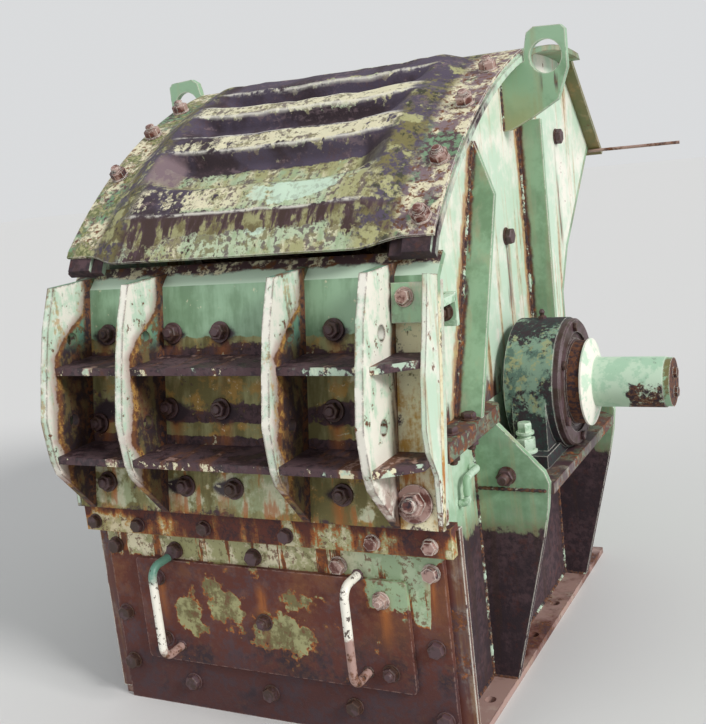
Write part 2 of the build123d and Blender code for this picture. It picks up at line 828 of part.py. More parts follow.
def collect():
    """Every node by name, with its solids."""
    low = (axis_height - flange_thickness, axis_height)
    high = (axis_height, axis_height + flange_thickness)
    nodes = {}
    for side, place in (("right", lambda part: part), ("left", left_of)):
        nodes["lower_wall_" + side] = [place(lower_wall())]
        nodes["upper_wall_" + side] = [place(upper_wall())]
        nodes["lifting_lug_" + side] = [place(lifting_lug())]
        nodes["pedestal_shelf_" + side] = [place(pedestal_shelf())]
        nodes["bearing_housing_" + side] = [place(bearing_housing())]
    nodes["arch_flanges"] = both(arch_flange())
    nodes["panel_seats"] = both(panel_seat())
    nodes["panel_ends"] = both(panel_end())
    nodes["corner_bars"] = both(corner_bar())
    nodes["base_flanges"] = both(base_flange())
    nodes["split_flange_lower"] = [s for part in split_flange(*low) for s in both(part)]
    nodes["split_flange_upper"] = [s for part in split_flange(*high) for s in both(part)]
    nodes["stiffeners"] = [s for part in stiffeners() for s in both(part)]
    nodes["pedestal_gussets"] = [s for part in pedestal_gussets() for s in both(part)]
    nodes["door_handles"] = [handle(handle_offset + n * handle_spacing / 2) for n in (-1, 1)]
    nodes["bearing_cap_right"] = [bearing_cap(seal_radius + seal_clearance)]
    nodes["bearing_cap_left"] = [left_of(bearing_cap(0))]
    nodes["lower_front_plate"] = [front_plate()]
    nodes["lower_rear_plate"] = [rear_plate()]
    nodes["upper_rear_plate"] = [upper_rear_plate()]
    nodes["front_bar"] = [front_bar()]
    nodes["access_door"] = [access_door()]
    nodes["panel_plate"] = [panel_plate()]
    nodes["panel_ribs"] = [panel_rib(x) for x in rib_places()]
    nodes["panel_shelf_upper"] = panel_shelf(upper_shelf_height)
    nodes["panel_shelf_lower"] = panel_shelf(lower_shelf_height)
    nodes["clamp_plate"] = [clamp_plate()]
    nodes["liner_plates"] = liner()
    nodes["top_cover"] = [top_cover()]
    nodes["top_plate"] = [top_plate()]
    nodes["inlet_flange"] = [inlet_flange()]
    nodes["flange_rod"] = [flange_rod()]
    nodes["drive_shaft"] = [shaft()]
    nodes["shaft_collar"] = [collar()]
    nodes["shaft_end_plate"] = [shaft_end_plate()]
    nodes["rotor_body"] = [rotor_body()]
    nodes["blow_bars"] = blow_bars()
    return nodes


# Write one file for each node
os.makedirs("parts", exist_ok=True)
for name, solids in collect().items():
    shapes = [s for item in solids for s in item.solids()]
    part = shapes[0] if len(shapes) == 1 else Compound(shapes)
    export_step(part, "parts/" + name + ".step")
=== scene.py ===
import bpy
import bmesh
import random
from math import cos, radians, sin, sqrt, tau
from mathutils import Matrix, Vector, noise


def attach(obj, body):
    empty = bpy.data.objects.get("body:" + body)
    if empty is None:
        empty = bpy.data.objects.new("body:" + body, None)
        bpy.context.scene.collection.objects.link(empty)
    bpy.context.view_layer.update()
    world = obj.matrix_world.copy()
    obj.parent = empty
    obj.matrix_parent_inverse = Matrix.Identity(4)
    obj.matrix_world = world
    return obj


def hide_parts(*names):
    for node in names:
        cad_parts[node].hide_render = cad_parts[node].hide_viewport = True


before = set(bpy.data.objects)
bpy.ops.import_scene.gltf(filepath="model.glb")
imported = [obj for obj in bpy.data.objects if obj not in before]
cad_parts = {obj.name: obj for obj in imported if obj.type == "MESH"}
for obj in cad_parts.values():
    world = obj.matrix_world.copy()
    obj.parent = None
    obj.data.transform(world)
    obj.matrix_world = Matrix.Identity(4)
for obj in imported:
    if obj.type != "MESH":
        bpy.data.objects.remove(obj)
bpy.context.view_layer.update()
scene = bpy.context.scene
scene.view_settings.view_transform = "Standard"
dice = random.Random(11)
MM = 0.001
FINE_GRAIN = 220
HALF_WIDTH = 0.4
ROUND_EDGE = 0.0016

# Sizes taken over from the solids, in millimetres; the scene itself is in metres
WALL_X = 338
FLANGE_X = 390
AXIS_Z = 544
ARCH_Y = 317.63
ARCH_Z = 133.19
ARCH_RADIUS = 1105
ARCH_FRONT = 134.77
COVER_THICKNESS = 5
CREST_BEND = 16
PANEL_FOOT = (-550, 428)
PANEL_LEAN = radians(10.6)
UP_PLATE = Vector((0, sin(PANEL_LEAN), cos(PANEL_LEAN)))
OUT_OF_PLATE = Vector((0, -cos(PANEL_LEAN), sin(PANEL_LEAN)))


# Colours, written as they look
def tone(red, green, blue):
    def linear(value):
        value /= 255
        return value / 12.92 if value <= 0.04045 else ((value + 0.055) / 1.055) ** 2.4
    return (linear(red), linear(green), linear(blue), 1)


MINT_PALE = tone(198, 220, 196)
MINT = tone(152, 186, 152)
MINT_SHADE = tone(118, 150, 116)
TEAL = tone(98, 142, 124)
OLIVE = tone(116, 108, 66)
OLIVE_LIGHT = tone(166, 164, 116)
OLIVE_DARK = tone(56, 56, 38)
MOSS = tone(100, 106, 62)
CREAM = tone(226, 218, 184)
# near-white, for chalky paint and also for painted highlights and painted sunlight
CHALK_AND_HIGHLIGHT = tone(240, 236, 222)
SLATE = tone(78, 68, 84)
# greyish mauve, for dust and also for the lighter, lit tone of one end face of the cover's pans
DUST_AND_LIT_TONE = tone(128, 108, 112)
# pinkish, for dust and also for painted sheen and the pink fringe of painted sunlight on the ribs
PINK_DUST_AND_SHEEN = tone(172, 140, 130)
PURPLE = tone(84, 62, 66)
PURPLE_DARK = tone(52, 38, 44)
RED_BROWN = tone(96, 50, 40)
RUST_BROWN = tone(112, 70, 44)
RUST_ORANGE = tone(174, 104, 50)
RUST_YELLOW = tone(190, 146, 74)
RUST_DARK = tone(62, 42, 34)


class Field:
    """A value that varies over a surface; its sums, products and steps are fields too."""

    def __init__(self, finish, socket):
        self.finish = finish
        self.socket = socket

    def __add__(self, other):
        return self.finish.math("ADD", self, other)

    def __sub__(self, other):
        return self.finish.math("SUBTRACT", self, other)

    def __rsub__(self, other):
        return self.finish.math("SUBTRACT", other, self)

    def __mul__(self, other):
        return self.finish.math("MULTIPLY", self, other)

    def __abs__(self):
        return self.finish.math("ABSOLUTE", self)

    def scaled(self, low, high, to_low=0.0, to_high=1.0, kind="LINEAR"):
        node = self.finish.node("ShaderNodeMapRange", interpolation_type=kind)
        for name, value in (("Value", self), ("From Min", low), ("From Max", high),
                            ("To Min", to_low), ("To Max", to_high)):
            self.finish.plug(node.inputs[name], value)
        return Field(self.finish, node.outputs["Result"])

    def step(self, low, high):
        """0 below low, 1 above high, or the other way round when low is the larger."""
        if low > high:
            return self.scaled(high, low, 1.0, 0.0, "SMOOTHSTEP")
        return self.scaled(low, high, kind="SMOOTHSTEP")

    def wander(self, by, amount):
        """Moved to and fro by another field, which lies around a half."""
        return self + (by - 0.5) * amount

    def between(self, low, high, soft):
        return self.step(low - soft, low + soft) * self.step(high + soft, high - soft)

    def curve(self, stops, low=-HALF_WIDTH, high=HALF_WIDTH):
        """A line through (value, height) stops from low to high, as one ramp."""
        ramp = self.finish.node("ShaderNodeValToRGB")
        elements = ramp.color_ramp.elements
        while len(elements) > 1:
            elements.remove(elements[-1])
        for index, (at, height) in enumerate(stops):
            share = min(1, max(0, (at - low) / (high - low)))
            element = elements[0] if index == 0 else elements.new(share)
            element.position = share
            element.color = (height, height, height, 1)
        self.finish.plug(ramp.inputs[0], self.scaled(low, high))
        return Field(self.finish, ramp.outputs[0])


def either(first, second):
    """The larger of two fields."""
    return first.finish.math("MAXIMUM", first, second)


class Finish:
    """One material, built up from patches laid over each other.

    x, y and z are the place on the piece in metres; side, front and top are the parts of the direction
    that the surface faces.
    """

    def __init__(self, name):
        self.material = bpy.data.materials.new(name)
        self.material.use_nodes = True
        self.tree = self.material.node_tree
        self.shader = self.tree.nodes["Principled BSDF"]
        self.place = self.node("ShaderNodeTexCoord").outputs["Object"]
        self.x, self.y, self.z = self.parts(self.place)
        self.straight = self.node("ShaderNodeNewGeometry").outputs["Normal"]
        self.side, self.front, self.top = self.parts(self.straight)
        self.colour = None
        self.shaded_zone = None

    def node(self, kind, **settings):
        node = self.tree.nodes.new(kind)
        for key, value in settings.items():
            setattr(node, key, value)
        return node

    def plug(self, socket, value):
        if isinstance(value, Field):
            value = value.socket
        if isinstance(value, bpy.types.NodeSocket):
            self.tree.links.new(value, socket)
        else:
            socket.default_value = value

    def parts(self, vector):
        split = self.node("ShaderNodeSeparateXYZ")
        self.plug(split.inputs[0], vector)
        return [Field(self, socket) for socket in split.outputs]

    def math(self, operation, first, second=0.0):
        node = self.node("ShaderNodeMath", operation=operation)
        self.plug(node.inputs[0], first)
        self.plug(node.inputs[1], second)
        return Field(self, node.outputs[0])

    def noise(self, scale, detail=5, roughness=0.6, stretch=None, shift=0.0, place=None):
        place = place or self.place
        if stretch or shift:
            mapping = self.node("ShaderNodeMapping")
            self.plug(mapping.inputs["Vector"], place)
            mapping.inputs["Scale"].default_value = stretch or (1, 1, 1)
            mapping.inputs["Location"].default_value = (shift, shift * 0.7, shift * 1.3)
            place = mapping.outputs[0]
        node = self.node("ShaderNodeTexNoise")
        self.plug(node.inputs["Vector"], place)
        self.plug(node.inputs["Scale"], scale)
        self.plug(node.inputs["Detail"], detail)
        self.plug(node.inputs["Roughness"], roughness)
        return Field(self, node.outputs["Fac"])

    def mix(self, share, first, second):
        node = self.node("ShaderNodeMix", data_type="RGBA")
        self.plug(node.inputs[0], share)
        self.plug(node.inputs[6], first)
        self.plug(node.inputs[7], second)
        return Field(self, node.outputs[2])

    def base(self, colour):
        self.colour = colour

    def lay(self, share, colour):
        """Cover the finish so far with a colour wherever share is high."""
        self.colour = self.mix(share, self.colour, colour)

    def worn_edges(self, radius, low=0.02, high=0.22):
        """High along outer and inner edges."""
        bevel = self.node("ShaderNodeBevel", samples=6)
        self.plug(bevel.inputs["Radius"], radius)
        dot = self.node("ShaderNodeVectorMath", operation="DOT_PRODUCT")
        self.plug(dot.inputs[0], bevel.outputs[0])
        self.plug(dot.inputs[1], self.straight)
        return (1 - Field(self, dot.outputs["Value"])).step(low, high)

    def done(self, rust, rough_paint=0.42, rough_rust=0.85, depth=0.0012):
        """Colour, roughness and bump, with edges rounded a little; rust is rough and lies deeper."""
        self.plug(self.shader.inputs["Base Color"], self.colour)
        self.plug(self.shader.inputs["Roughness"], rust.scaled(0, 1, rough_paint, rough_rust))
        fine = self.noise(FINE_GRAIN, 3, 0.7)
        bump = self.node("ShaderNodeBump")
        self.plug(bump.inputs["Height"], rust * -0.55 + fine * (rust * 0.7 + 0.15))
        bump.inputs["Strength"].default_value = 0.7
        bump.inputs["Distance"].default_value = depth
        bevel = self.node("ShaderNodeBevel", samples=4)
        bevel.inputs["Radius"].default_value = ROUND_EDGE
        self.plug(bump.inputs["Normal"], bevel.outputs[0])
        self.plug(self.shader.inputs["Normal"], bump.outputs[0])
        return self.material


def weathered(name, paint, shade, rust=0.4, streak=0.35, moss=0.0, pale=0.3, shift=0.0, edge=0.8, rim=0.0,
              dark=False, extra=None):
    """Old paint: faded and darker areas, rust that eats in from edges, and runs of rust; rim sets a painted
    highlight along the edges.
    """
    m = Finish(name)
    m.broad = m.noise(5, shift=shift)
    m.mid = m.noise(22, 6, 0.68, shift=shift + 3)
    m.small = m.noise(75, 4, 0.7, shift=shift + 5)
    m.runs = m.noise(34, stretch=(1, 1, 0.07), shift=shift + 7)
    m.base(paint)
    m.lay((m.broad * 0.6 + m.mid * 0.4).step(0.44, 0.6), shade)
    m.lay((m.mid * 0.5 + m.runs * 0.5).step(0.5, 0.64) * pale, CHALK_AND_HIGHLIGHT)
    if moss:
        m.lay((m.broad * 0.4 + m.mid * 0.6).step(0.46, 0.6) * moss, MOSS)
    m.lay(m.runs.step(0.5, 0.7) * streak, RUST_YELLOW)
    m.lay((m.runs * 0.7 + m.small * 0.3).step(0.55, 0.68) * streak, RUST_BROWN)
    worn = m.worn_edges(0.005)
    field = m.broad * 0.35 + m.mid * 0.4 + m.small * 0.25
    mask = either(field.step(0.68 - 0.3 * rust, 0.72 - 0.3 * rust), worn * m.mid.step(0.35, 0.5) * edge)
    if extra:
        mask = extra(m, mask)
    rusty = m.mix(m.small.step(0.4, 0.62), PURPLE, PURPLE_DARK if dark else RUST_BROWN)
    if dark:
        rusty = m.mix((m.broad * 0.5 + m.mid * 0.5).step(0.44, 0.58), rusty, PURPLE_DARK)
        rusty = m.mix(m.runs.step(0.52, 0.64) * 0.5, rusty, RUST_DARK)
    warm = m.noise(48, 5, 0.7, shift=shift + 9).step(0.55, 0.68) * (0.4 if dark else 1.0)
    rusty = m.mix(warm, rusty, RED_BROWN if dark else RUST_ORANGE)
    m.lay(mask, rusty)
    # painted highlight: thin pale strokes along the edges, left out in a shaded zone
    if rim:
        edge_highlight = worn * m.small.step(0.34, 0.46) * rim
        if m.shaded_zone:
            edge_highlight = edge_highlight * (1 - m.shaded_zone)
        m.lay(edge_highlight, CHALK_AND_HIGHLIGHT)
    return m.done(mask)


def give(material, *nodes):
    for name in nodes:
        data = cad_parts[name].data
        data.materials.clear()
        data.materials.append(material)


def sides(name):
    return (name + "_right", name + "_left")


# Camera at the photograph's viewing angle
camera_data = bpy.data.cameras.new("camera")
camera = bpy.data.objects.new("camera", camera_data)
scene.collection.objects.link(camera)
camera.location = (1.0716, -2.0829, 1.0727)
camera.rotation_euler = (1.385803, 0.111839, 0.468862)
camera_data.sensor_fit = "HORIZONTAL"
camera_data.sensor_width = 36
camera_data.lens = 54.727
camera_data.shift_x = 0.005914
camera_data.shift_y = -0.028264
camera_data.clip_end = 100
scene.camera = camera

# Soft studio light: an even sky, a large key lamp from the right and a weak one from the front left
world = bpy.data.worlds.new("world")
scene.world = world
world.use_nodes = True
sky = world.node_tree
light = sky.nodes["Background"]
light.inputs["Color"].default_value = (0.93, 0.96, 1.0, 1)
light.inputs["Strength"].default_value = 0.56
# seen straight, or mirrored, the sky is as pale as the floor, so that the horizon hardly shows
backdrop = sky.nodes.new("ShaderNodeBackground")
backdrop.inputs["Color"].default_value = (0.70, 0.71, 0.72, 1)
seen = sky.nodes.new("ShaderNodeMixShader")
path = sky.nodes.new("ShaderNodeLightPath")
share = path.outputs["Is Camera Ray"]
for ray in ("Is Glossy Ray", "Is Transmission Ray"):
    larger = sky.nodes.new("ShaderNodeMath")
    larger.operation = "MAXIMUM"
    sky.links.new(share, larger.inputs[0])
    sky.links.new(path.outputs[ray], larger.inputs[1])
    share = larger.outputs[0]
sky.links.new(share, seen.inputs[0])
sky.links.new(light.outputs[0], seen.inputs[1])
sky.links.new(backdrop.outputs[0], seen.inputs[2])
sky.links.new(seen.outputs[0], sky.nodes["World Output"].inputs["Surface"])


def lamp(name, towards, energy, spread):
    data = bpy.data.lights.new(name, "SUN")
    data.energy = energy
    data.angle = radians(spread)
    sun = bpy.data.objects.new(name, data)
    scene.collection.objects.link(sun)
    sun.rotation_mode = "QUATERNION"
    sun.rotation_quaternion = Vector(towards).to_track_quat("Z", "Y")


lamp("key", (0.82, -0.22, 0.52), 2.3, 16)
lamp("fill", (-0.5, -0.8, 0.45), 0.35, 40)


# Paint of the flat plates
def wall_runs(m, mask):
    """Rust beside the two stiffeners, above the split flange and on the lower wall."""
    low = m.z.wander(m.runs * 0.4 + m.mid * 0.6, 0.16).step(0.6, 0.575)
    ragged = (m.mid * 0.6 + m.runs * 0.4 - 0.5) * 0.07
    upright = m.y + ragged
    foot = m.y + (m.z - 0.56) * -0.4376 + ragged
    tops = (m.z.step(1.085, 1.06), m.z.step(1.055, 1.03))
    halo = either(upright.between(0.137, 0.17, 0.007) * tops[0],
                  foot.between(-0.36, -0.328, 0.007) * tops[1])
    m.lay(halo * 0.75, m.mix(m.small.step(0.4, 0.6), RUST_YELLOW, RUST_ORANGE))
    edge = either(upright.between(0.15, 0.17, 0.003) * tops[0],
                  foot.between(-0.346, -0.328, 0.003) * tops[1])
    edge = edge * (m.mid * 0.5 + m.small * 0.5).step(0.42, 0.5)
    drip = m.y.between(0.012, 0.044, 0.01) * m.z.between(0.7, 0.835, 0.02)
    drip = either(drip, m.y.between(0.425, 0.452, 0.008) * m.z.between(0.78, 1.02, 0.03))
    drip = drip * m.runs.step(0.46, 0.6)
    return either(either(mask, low * m.runs.step(0.35, 0.5)), either(edge, drip * 0.8))


def rust_and_shade_below(level, wave):
    def rust(m, mask):
        """Painted shade below a ragged line, laid as dark rust, with a fringe of moss and rust above it."""
        ragged = m.runs * 0.25 + m.mid * 0.45 + (m.broad * 0.2 + m.small * 0.1)
        line = m.z.wander(ragged, wave * 3)
        m.lay(line.step(level + 0.05, level) * 0.6, m.mix(m.small.step(0.42, 0.56), MOSS, RUST_BROWN))
        shaded_zone = line.step(level + 0.006, level - 0.004)
        return either(mask * line.step(level - 0.002, level), shaded_zone)
    return rust


def root_rust(m, mask):
    """Rust along the root of the stiffeners, on the wall side."""
    root = abs(m.x).wander(m.mid, 0.02).step(0.353, 0.345)
    return either(mask, root * (m.runs + m.mid * 0.5).step(0.6, 0.72))


give(weathered("mint_side", MINT_PALE, CHALK_AND_HIGHLIGHT, rust=0.3, streak=0.7, pale=0.8, edge=0.6, extra=wall_runs),
     *sides("upper_wall"))
# below the pedestal shelf the lower walls and the gussets get painted shade, laid as dark rust
give(weathered("mint_low", MINT_PALE, MINT, rust=0.3, streak=0.4, pale=0.35, shift=4, edge=0.5,
               extra=rust_and_shade_below(0.33, 0.06), dark=True), *sides("lower_wall"))
give(weathered("mint_gusset", MINT, MINT_SHADE, rust=0.22, streak=0.3, pale=0.15, shift=6,
               extra=rust_and_shade_below(0.315, 0.06), dark=True, rim=0.9), "pedestal_gussets")
give(weathered("mint_stiffener", MINT, MINT_SHADE, rust=0.2, streak=0.15, pale=0.15, shift=8, extra=root_rust,
               rim=0.9, edge=0.2), "stiffeners")


def lug_tints(m, mask):
    """Yellow-green towards the lower inner corner, rust that drips from the hole."""
    low = (m.z + m.mid * 0.1).step(1.2, 1.12) * abs(m.x).step(0.44, 0.38)
    m.lay(low * 0.7, OLIVE_LIGHT)
    under = abs(m.x).between(0.425, 0.462, 0.008) * m.z.between(1.13, 1.166, 0.012)
    return either(mask, under * m.runs.step(0.5, 0.58))


give(weathered("mint_lug", MINT, MINT_SHADE, rust=0.26, streak=0.2, pale=0.1, shift=9, rim=0.7, edge=0.5,
               extra=lug_tints), *sides("lifting_lug"))
give(weathered("mint_rear", MINT, MINT_SHADE, rust=0.35, streak=0.5, moss=0.3, shift=12),
     "lower_rear_plate", "upper_rear_plate")
give(weathered("inlet_paint", OLIVE, MOSS, streak=0.3, moss=0.6, pale=0.2, shift=14, rim=0.6),
     "inlet_flange")
give(weathered("roof_paint", MINT_SHADE, OLIVE, rust=0.35, streak=0.2, moss=0.7, shift=16),
     "top_plate")
give(weathered("seat_paint", MINT_PALE, PINK_DUST_AND_SHEEN, rust=0.5, streak=0.6, pale=0.7, shift=18, rim=0.8),
     "panel_seats")
give(weathered("end_paint", MINT_PALE, CHALK_AND_HIGHLIGHT, rust=0.48, streak=0.5, pale=0.8, edge=1.0, shift=19),
     "panel_ends")
give(weathered("flange_rust", PURPLE, MINT_SHADE, rust=0.62, streak=0.2, shift=21),
     "split_flange_lower", "split_flange_upper", *sides("pedestal_shelf"))


def dark_ends(m, mask):
    """The front ends of the arch flanges, under the cover's lip, get painted shade: dark rust on their front
    faces and no painted highlight on their edges.
    """
    m.shaded_zone = m.y.step(-0.435, -0.445)
    return either(mask, m.front.step(-0.3, -0.5) * m.shaded_zone)


give(weathered("arch_flange_rust_and_shade", MINT_PALE, PURPLE, rust=0.45, streak=0.2, pale=0.6, shift=23, rim=0.5,
               dark=True, extra=dark_ends), "arch_flanges")
give(weathered("base_rust", PINK_DUST_AND_SHEEN, RED_BROWN, rust=0.5, streak=0.1, pale=0.2, shift=25),
     "base_flanges")
give(weathered("corner_paint", RED_BROWN, PURPLE, rust=0.5, streak=0.3, pale=0.2, shift=27, edge=0.2,
               rim=1.6), "corner_bars")
give(weathered("clamp_paint", MINT, PURPLE, rust=0.45, streak=0.3, pale=0.5, shift=29, rim=0.4),
     "clamp_plate")
give(weathered("worn_steel", PINK_DUST_AND_SHEEN, RUST_BROWN, rust=0.6, streak=0.1, shift=31),
     "liner_plates", "rotor_body", "blow_bars", "flange_rod")


# Ribbed panel
def along_plate(m, direction):
    """Distance from the foot of the leaning plate in a direction, in metres."""
    y = m.y - PANEL_FOOT[0] * MM
    z = m.z - PANEL_FOOT[1] * MM
    return y * direction.y + z * direction.z


def peaks(places, half, low=-HALF_WIDTH):
    """Ramp stops from low on, with a narrow peak at each place."""
    stops = [(low, 0)]
    for at in sorted(places):
        stops += [(at - half, 0), (at, 1), (at + half, 0)]
    return stops


PANEL_BOLTS = [(-298, 337), (-145, 337), (-39, 337), (196, 337), (-325, 165), (-157, 197), (-42, 197),
               (192, 197), (-310, 52), (-125, 52), (-18, 52), (205, 52)]
PANEL_COLUMNS = [-0.311, -0.145, -0.036, 0.197]
PLATE_HEIGHT = 0.46


def panel_paint():
    m = Finish("panel_paint")
    up = along_plate(m, UP_PLATE)
    broad = m.noise(6, shift=40)
    mid = m.noise(24, 6, 0.68, shift=43)
    small = m.noise(80, 4, 0.7, shift=45)
    runs = m.noise(36, stretch=(1, 1, 0.08), shift=47)
    flat = m.noise(16, stretch=(0.35, 1, 1.6), shift=51)
    waver = up.wander(runs, 0.02)
    m.base(m.mix(small.step(0.42, 0.6), PURPLE, PURPLE_DARK))
    m.lay((mid * 0.6 + small * 0.4).step(0.5, 0.6) * 0.7, RUST_BROWN)
    gold = waver.curve([
        (0, 0.6), (0.02, 0.9), (0.11, 0.9), (0.128, 0.1), (0.142, 0.2), (0.15, 1), (0.167, 0.95),
        (0.174, 0.35), (0.2, 0.5), (0.225, 0.9), (0.278, 0.95), (0.291, 0.1), (0.3, 0.4), (0.325, 0.8),
        (0.345, 0.5)], 0, PLATE_HEIGHT)
    last = m.x.step(0.3, 0.31)
    patchy = flat * 0.6 + small * 0.4
    golden = m.mix((broad * 0.5 + runs * 0.5).step(0.44, 0.58), OLIVE, OLIVE_LIGHT)
    golden = m.mix(mid.step(0.5, 0.62) * 0.7, golden, RUST_YELLOW)
    m.lay((patchy + gold * 0.4).step(0.7, 0.78), golden)
    green = waver.curve([
        (0, 0.35), (0.015, 0.6), (0.06, 0.55), (0.115, 0.35), (0.13, 0), (0.148, 0.05), (0.156, 0.5),
        (0.164, 0), (0.2, 0.1), (0.25, 0.45), (0.278, 0.5), (0.291, 0), (0.318, 0.05), (0.336, 1),
        (0.46, 1)], 0, PLATE_HEIGHT)
    showing = (broad * 0.5 + mid * 0.5 + green * 0.5).step(0.76, 0.82)
    paint = m.mix((broad * 0.6 + runs * 0.4).step(0.45, 0.6), MINT, MINT_SHADE)
    worn = m.mix((mid * 0.5 + runs * 0.5).step(0.46, 0.56), OLIVE_LIGHT, CREAM)
    paint = m.mix(up.step(0.29, 0.27) * 0.7, paint, worn)
    m.lay(showing, paint)
    patch = (broad * 0.3 + mid * 0.4 + small * 0.3).step(0.43, 0.47)
    stained = m.mix((mid * 0.6 + runs * 0.4).step(0.48, 0.6), CREAM, RUST_YELLOW)
    m.lay(last * patch * up.step(0.4, 0.38), stained)
    column = m.x.wander(mid, 0.02).curve(peaks(PANEL_COLUMNS, 0.022))
    bolt_shadow_columns = m.x.wander(mid, 0.03).curve(peaks(PANEL_COLUMNS, 0.05))
    below = up.curve([
        (0, 0.7), (0.035, 1), (0.05, 0), (0.13, 0.4), (0.17, 1), (0.2, 0), (0.295, 0.4), (0.325, 1),
        (0.34, 0)], 0, PLATE_HEIGHT)
    m.lay(column * below * runs.step(0.36, 0.52), RUST_ORANGE)
    m.lay(up.step(0.13, 0.1) * runs.step(0.54, 0.62) * 0.8, RUST_ORANGE)
    # painted shadow: dark patches around each bolt, where the bolt columns and rows cross
    ring = up.curve([
        (0, 0), (0.03, 0.2), (0.052, 1), (0.075, 0), (0.15, 0), (0.19, 1), (0.225, 0), (0.3, 0.2),
        (0.335, 0.9), (0.36, 0)], 0, PLATE_HEIGHT)
    m.lay((bolt_shadow_columns * ring + small * 0.3).step(0.42, 0.7), PURPLE_DARK)
    bend = m.top.step(0.3, 0.55)
    m.lay(bend, MINT_PALE)
    crust = up.wander(mid, 0.03).step(0.442, 0.448)
    flaked = m.mix((mid * 0.5 + small * 0.5).step(0.5, 0.54), PURPLE, CREAM)
    flaked = m.mix((runs * 0.5 + small * 0.5).step(0.52, 0.56), flaked, RUST_BROWN)
    m.lay(bend * crust, flaked)
    chips = (small * 0.6 + mid * 0.4).step(0.6, 0.63) * 0.7
    m.lay(chips, CREAM)
    return m.done(1 - either(showing, bend))


give(panel_paint(), "panel_plate")


def rib_paint():
    m = Finish("rib_paint")
    up = along_plate(m, UP_PLATE)
    out = along_plate(m, OUT_OF_PLATE)
    mid = m.noise(26, 6, 0.68, shift=51)
    small = m.noise(85, 4, 0.7, shift=53)
    runs = m.noise(30, stretch=(1, 1, 0.1), shift=55)
    grain = mid * 0.6 + small * 0.4
    lit = either(m.side.step(0.3, 0.8), m.front.step(-0.3, -0.7))
    upper = up.wander(mid, 0.05).step(0.3, 0.34)
    m.base(m.mix(small.step(0.42, 0.6), PURPLE_DARK, RUST_DARK))
    m.lay(mid.step(0.48, 0.6) * 0.8, RUST_BROWN)
    m.lay((mid * 0.5 + runs * 0.5).step(0.5, 0.58) * 0.6, OLIVE)
    m.lay(upper * grain.step(0.56, 0.5), m.mix(runs.step(0.45, 0.58), MINT_SHADE, TEAL))
    # painted sunlight: white on the faces turned right and forward, towards the front edge, further in at the
    # top and over the whole last rib; further in, the dark rust tones laid first stand partly for painted
    # shade
    reach = up.curve([
        (0, 0.06), (0.11, 0.075), (0.14, 0.098), (0.2, 0.094), (0.28, 0.098), (0.292, 0.1),
        (0.33, 0.075), (0.38, 0.02), (0.46, 0.0)], 0, PLATE_HEIGHT)
    reach = reach * m.x.step(0.3, 0.28)
    depth = out.wander(mid, 0.035) - reach
    painted_sunlight = depth.step(0.002, 0.008)
    # a rust-coloured strip along the inner edge of the painted sunlight
    m.lay(lit * depth.between(-0.01, 0.006, 0.006), m.mix(grain.step(0.48, 0.6), RUST_BROWN, RUST_YELLOW))
    white = m.mix((mid * 0.5 + runs * 0.5).step(0.46, 0.56), CHALK_AND_HIGHLIGHT, MINT_PALE)
    # towards its inner edge and low down, the painted sunlight turns pink, as painted shade
    white = m.mix(depth.step(0.03, 0.004) * 0.8, white, PINK_DUST_AND_SHEEN)
    white = m.mix(up.step(0.14, 0.02) * mid.step(0.42, 0.54), white, PINK_DUST_AND_SHEEN)
    m.lay(lit * painted_sunlight, white)
    stains = (runs * 0.65 + small * 0.35).step(0.55, 0.61) * 0.65
    m.lay(lit * painted_sunlight * stains, m.mix(mid.step(0.45, 0.6), RUST_YELLOW, RUST_BROWN))
    root = out.wander(mid, 0.03).step(0.026, 0.014) * runs.step(0.32, 0.5)
    m.lay(root, m.mix(small.step(0.45, 0.55), RUST_BROWN, PURPLE_DARK))
    edge = m.worn_edges(0.008) * grain.step(0.42, 0.5)
    m.lay(edge * 0.9, m.mix(small.step(0.45, 0.6), RUST_BROWN, PURPLE))
    spots = grain.step(0.585, 0.61)
    m.lay(spots, m.mix(small.step(0.4, 0.6), PURPLE, RUST_BROWN))
    return m.done(either(1 - lit * painted_sunlight, spots), rough_rust=0.75)


def shelf_paint():
    m = Finish("shelf_paint")
    mid = m.noise(26, 6, 0.68, shift=61)
    small = m.noise(85, 4, 0.7, shift=63)
    long = m.noise(14, 5, 0.7, stretch=(1, 0.3, 0.3), shift=65)
    m.base(PURPLE)
    m.lay((mid * 0.5 + small * 0.5).step(0.47, 0.56), PURPLE_DARK)
    m.lay(long.step(0.53, 0.62) * 0.75, RUST_BROWN)
    # pink streaks, partly dust and partly a painted sheen
    m.lay((long * 0.5 + mid * 0.5).step(0.57, 0.6) * 0.8, PINK_DUST_AND_SHEEN)
    face = m.front.step(-0.3, -0.7)
    m.lay(face * (long * 0.6 + small * 0.4).step(0.55, 0.58), CREAM)
    m.lay(face * (mid + m.x * 0.15).step(0.6, 0.64) * 0.8, MINT_PALE)
    return m.done(mid.step(0.56, 0.48))


give(rib_paint(), "panel_ribs")
give(shelf_paint(), "panel_shelf_upper", "panel_shelf_lower")


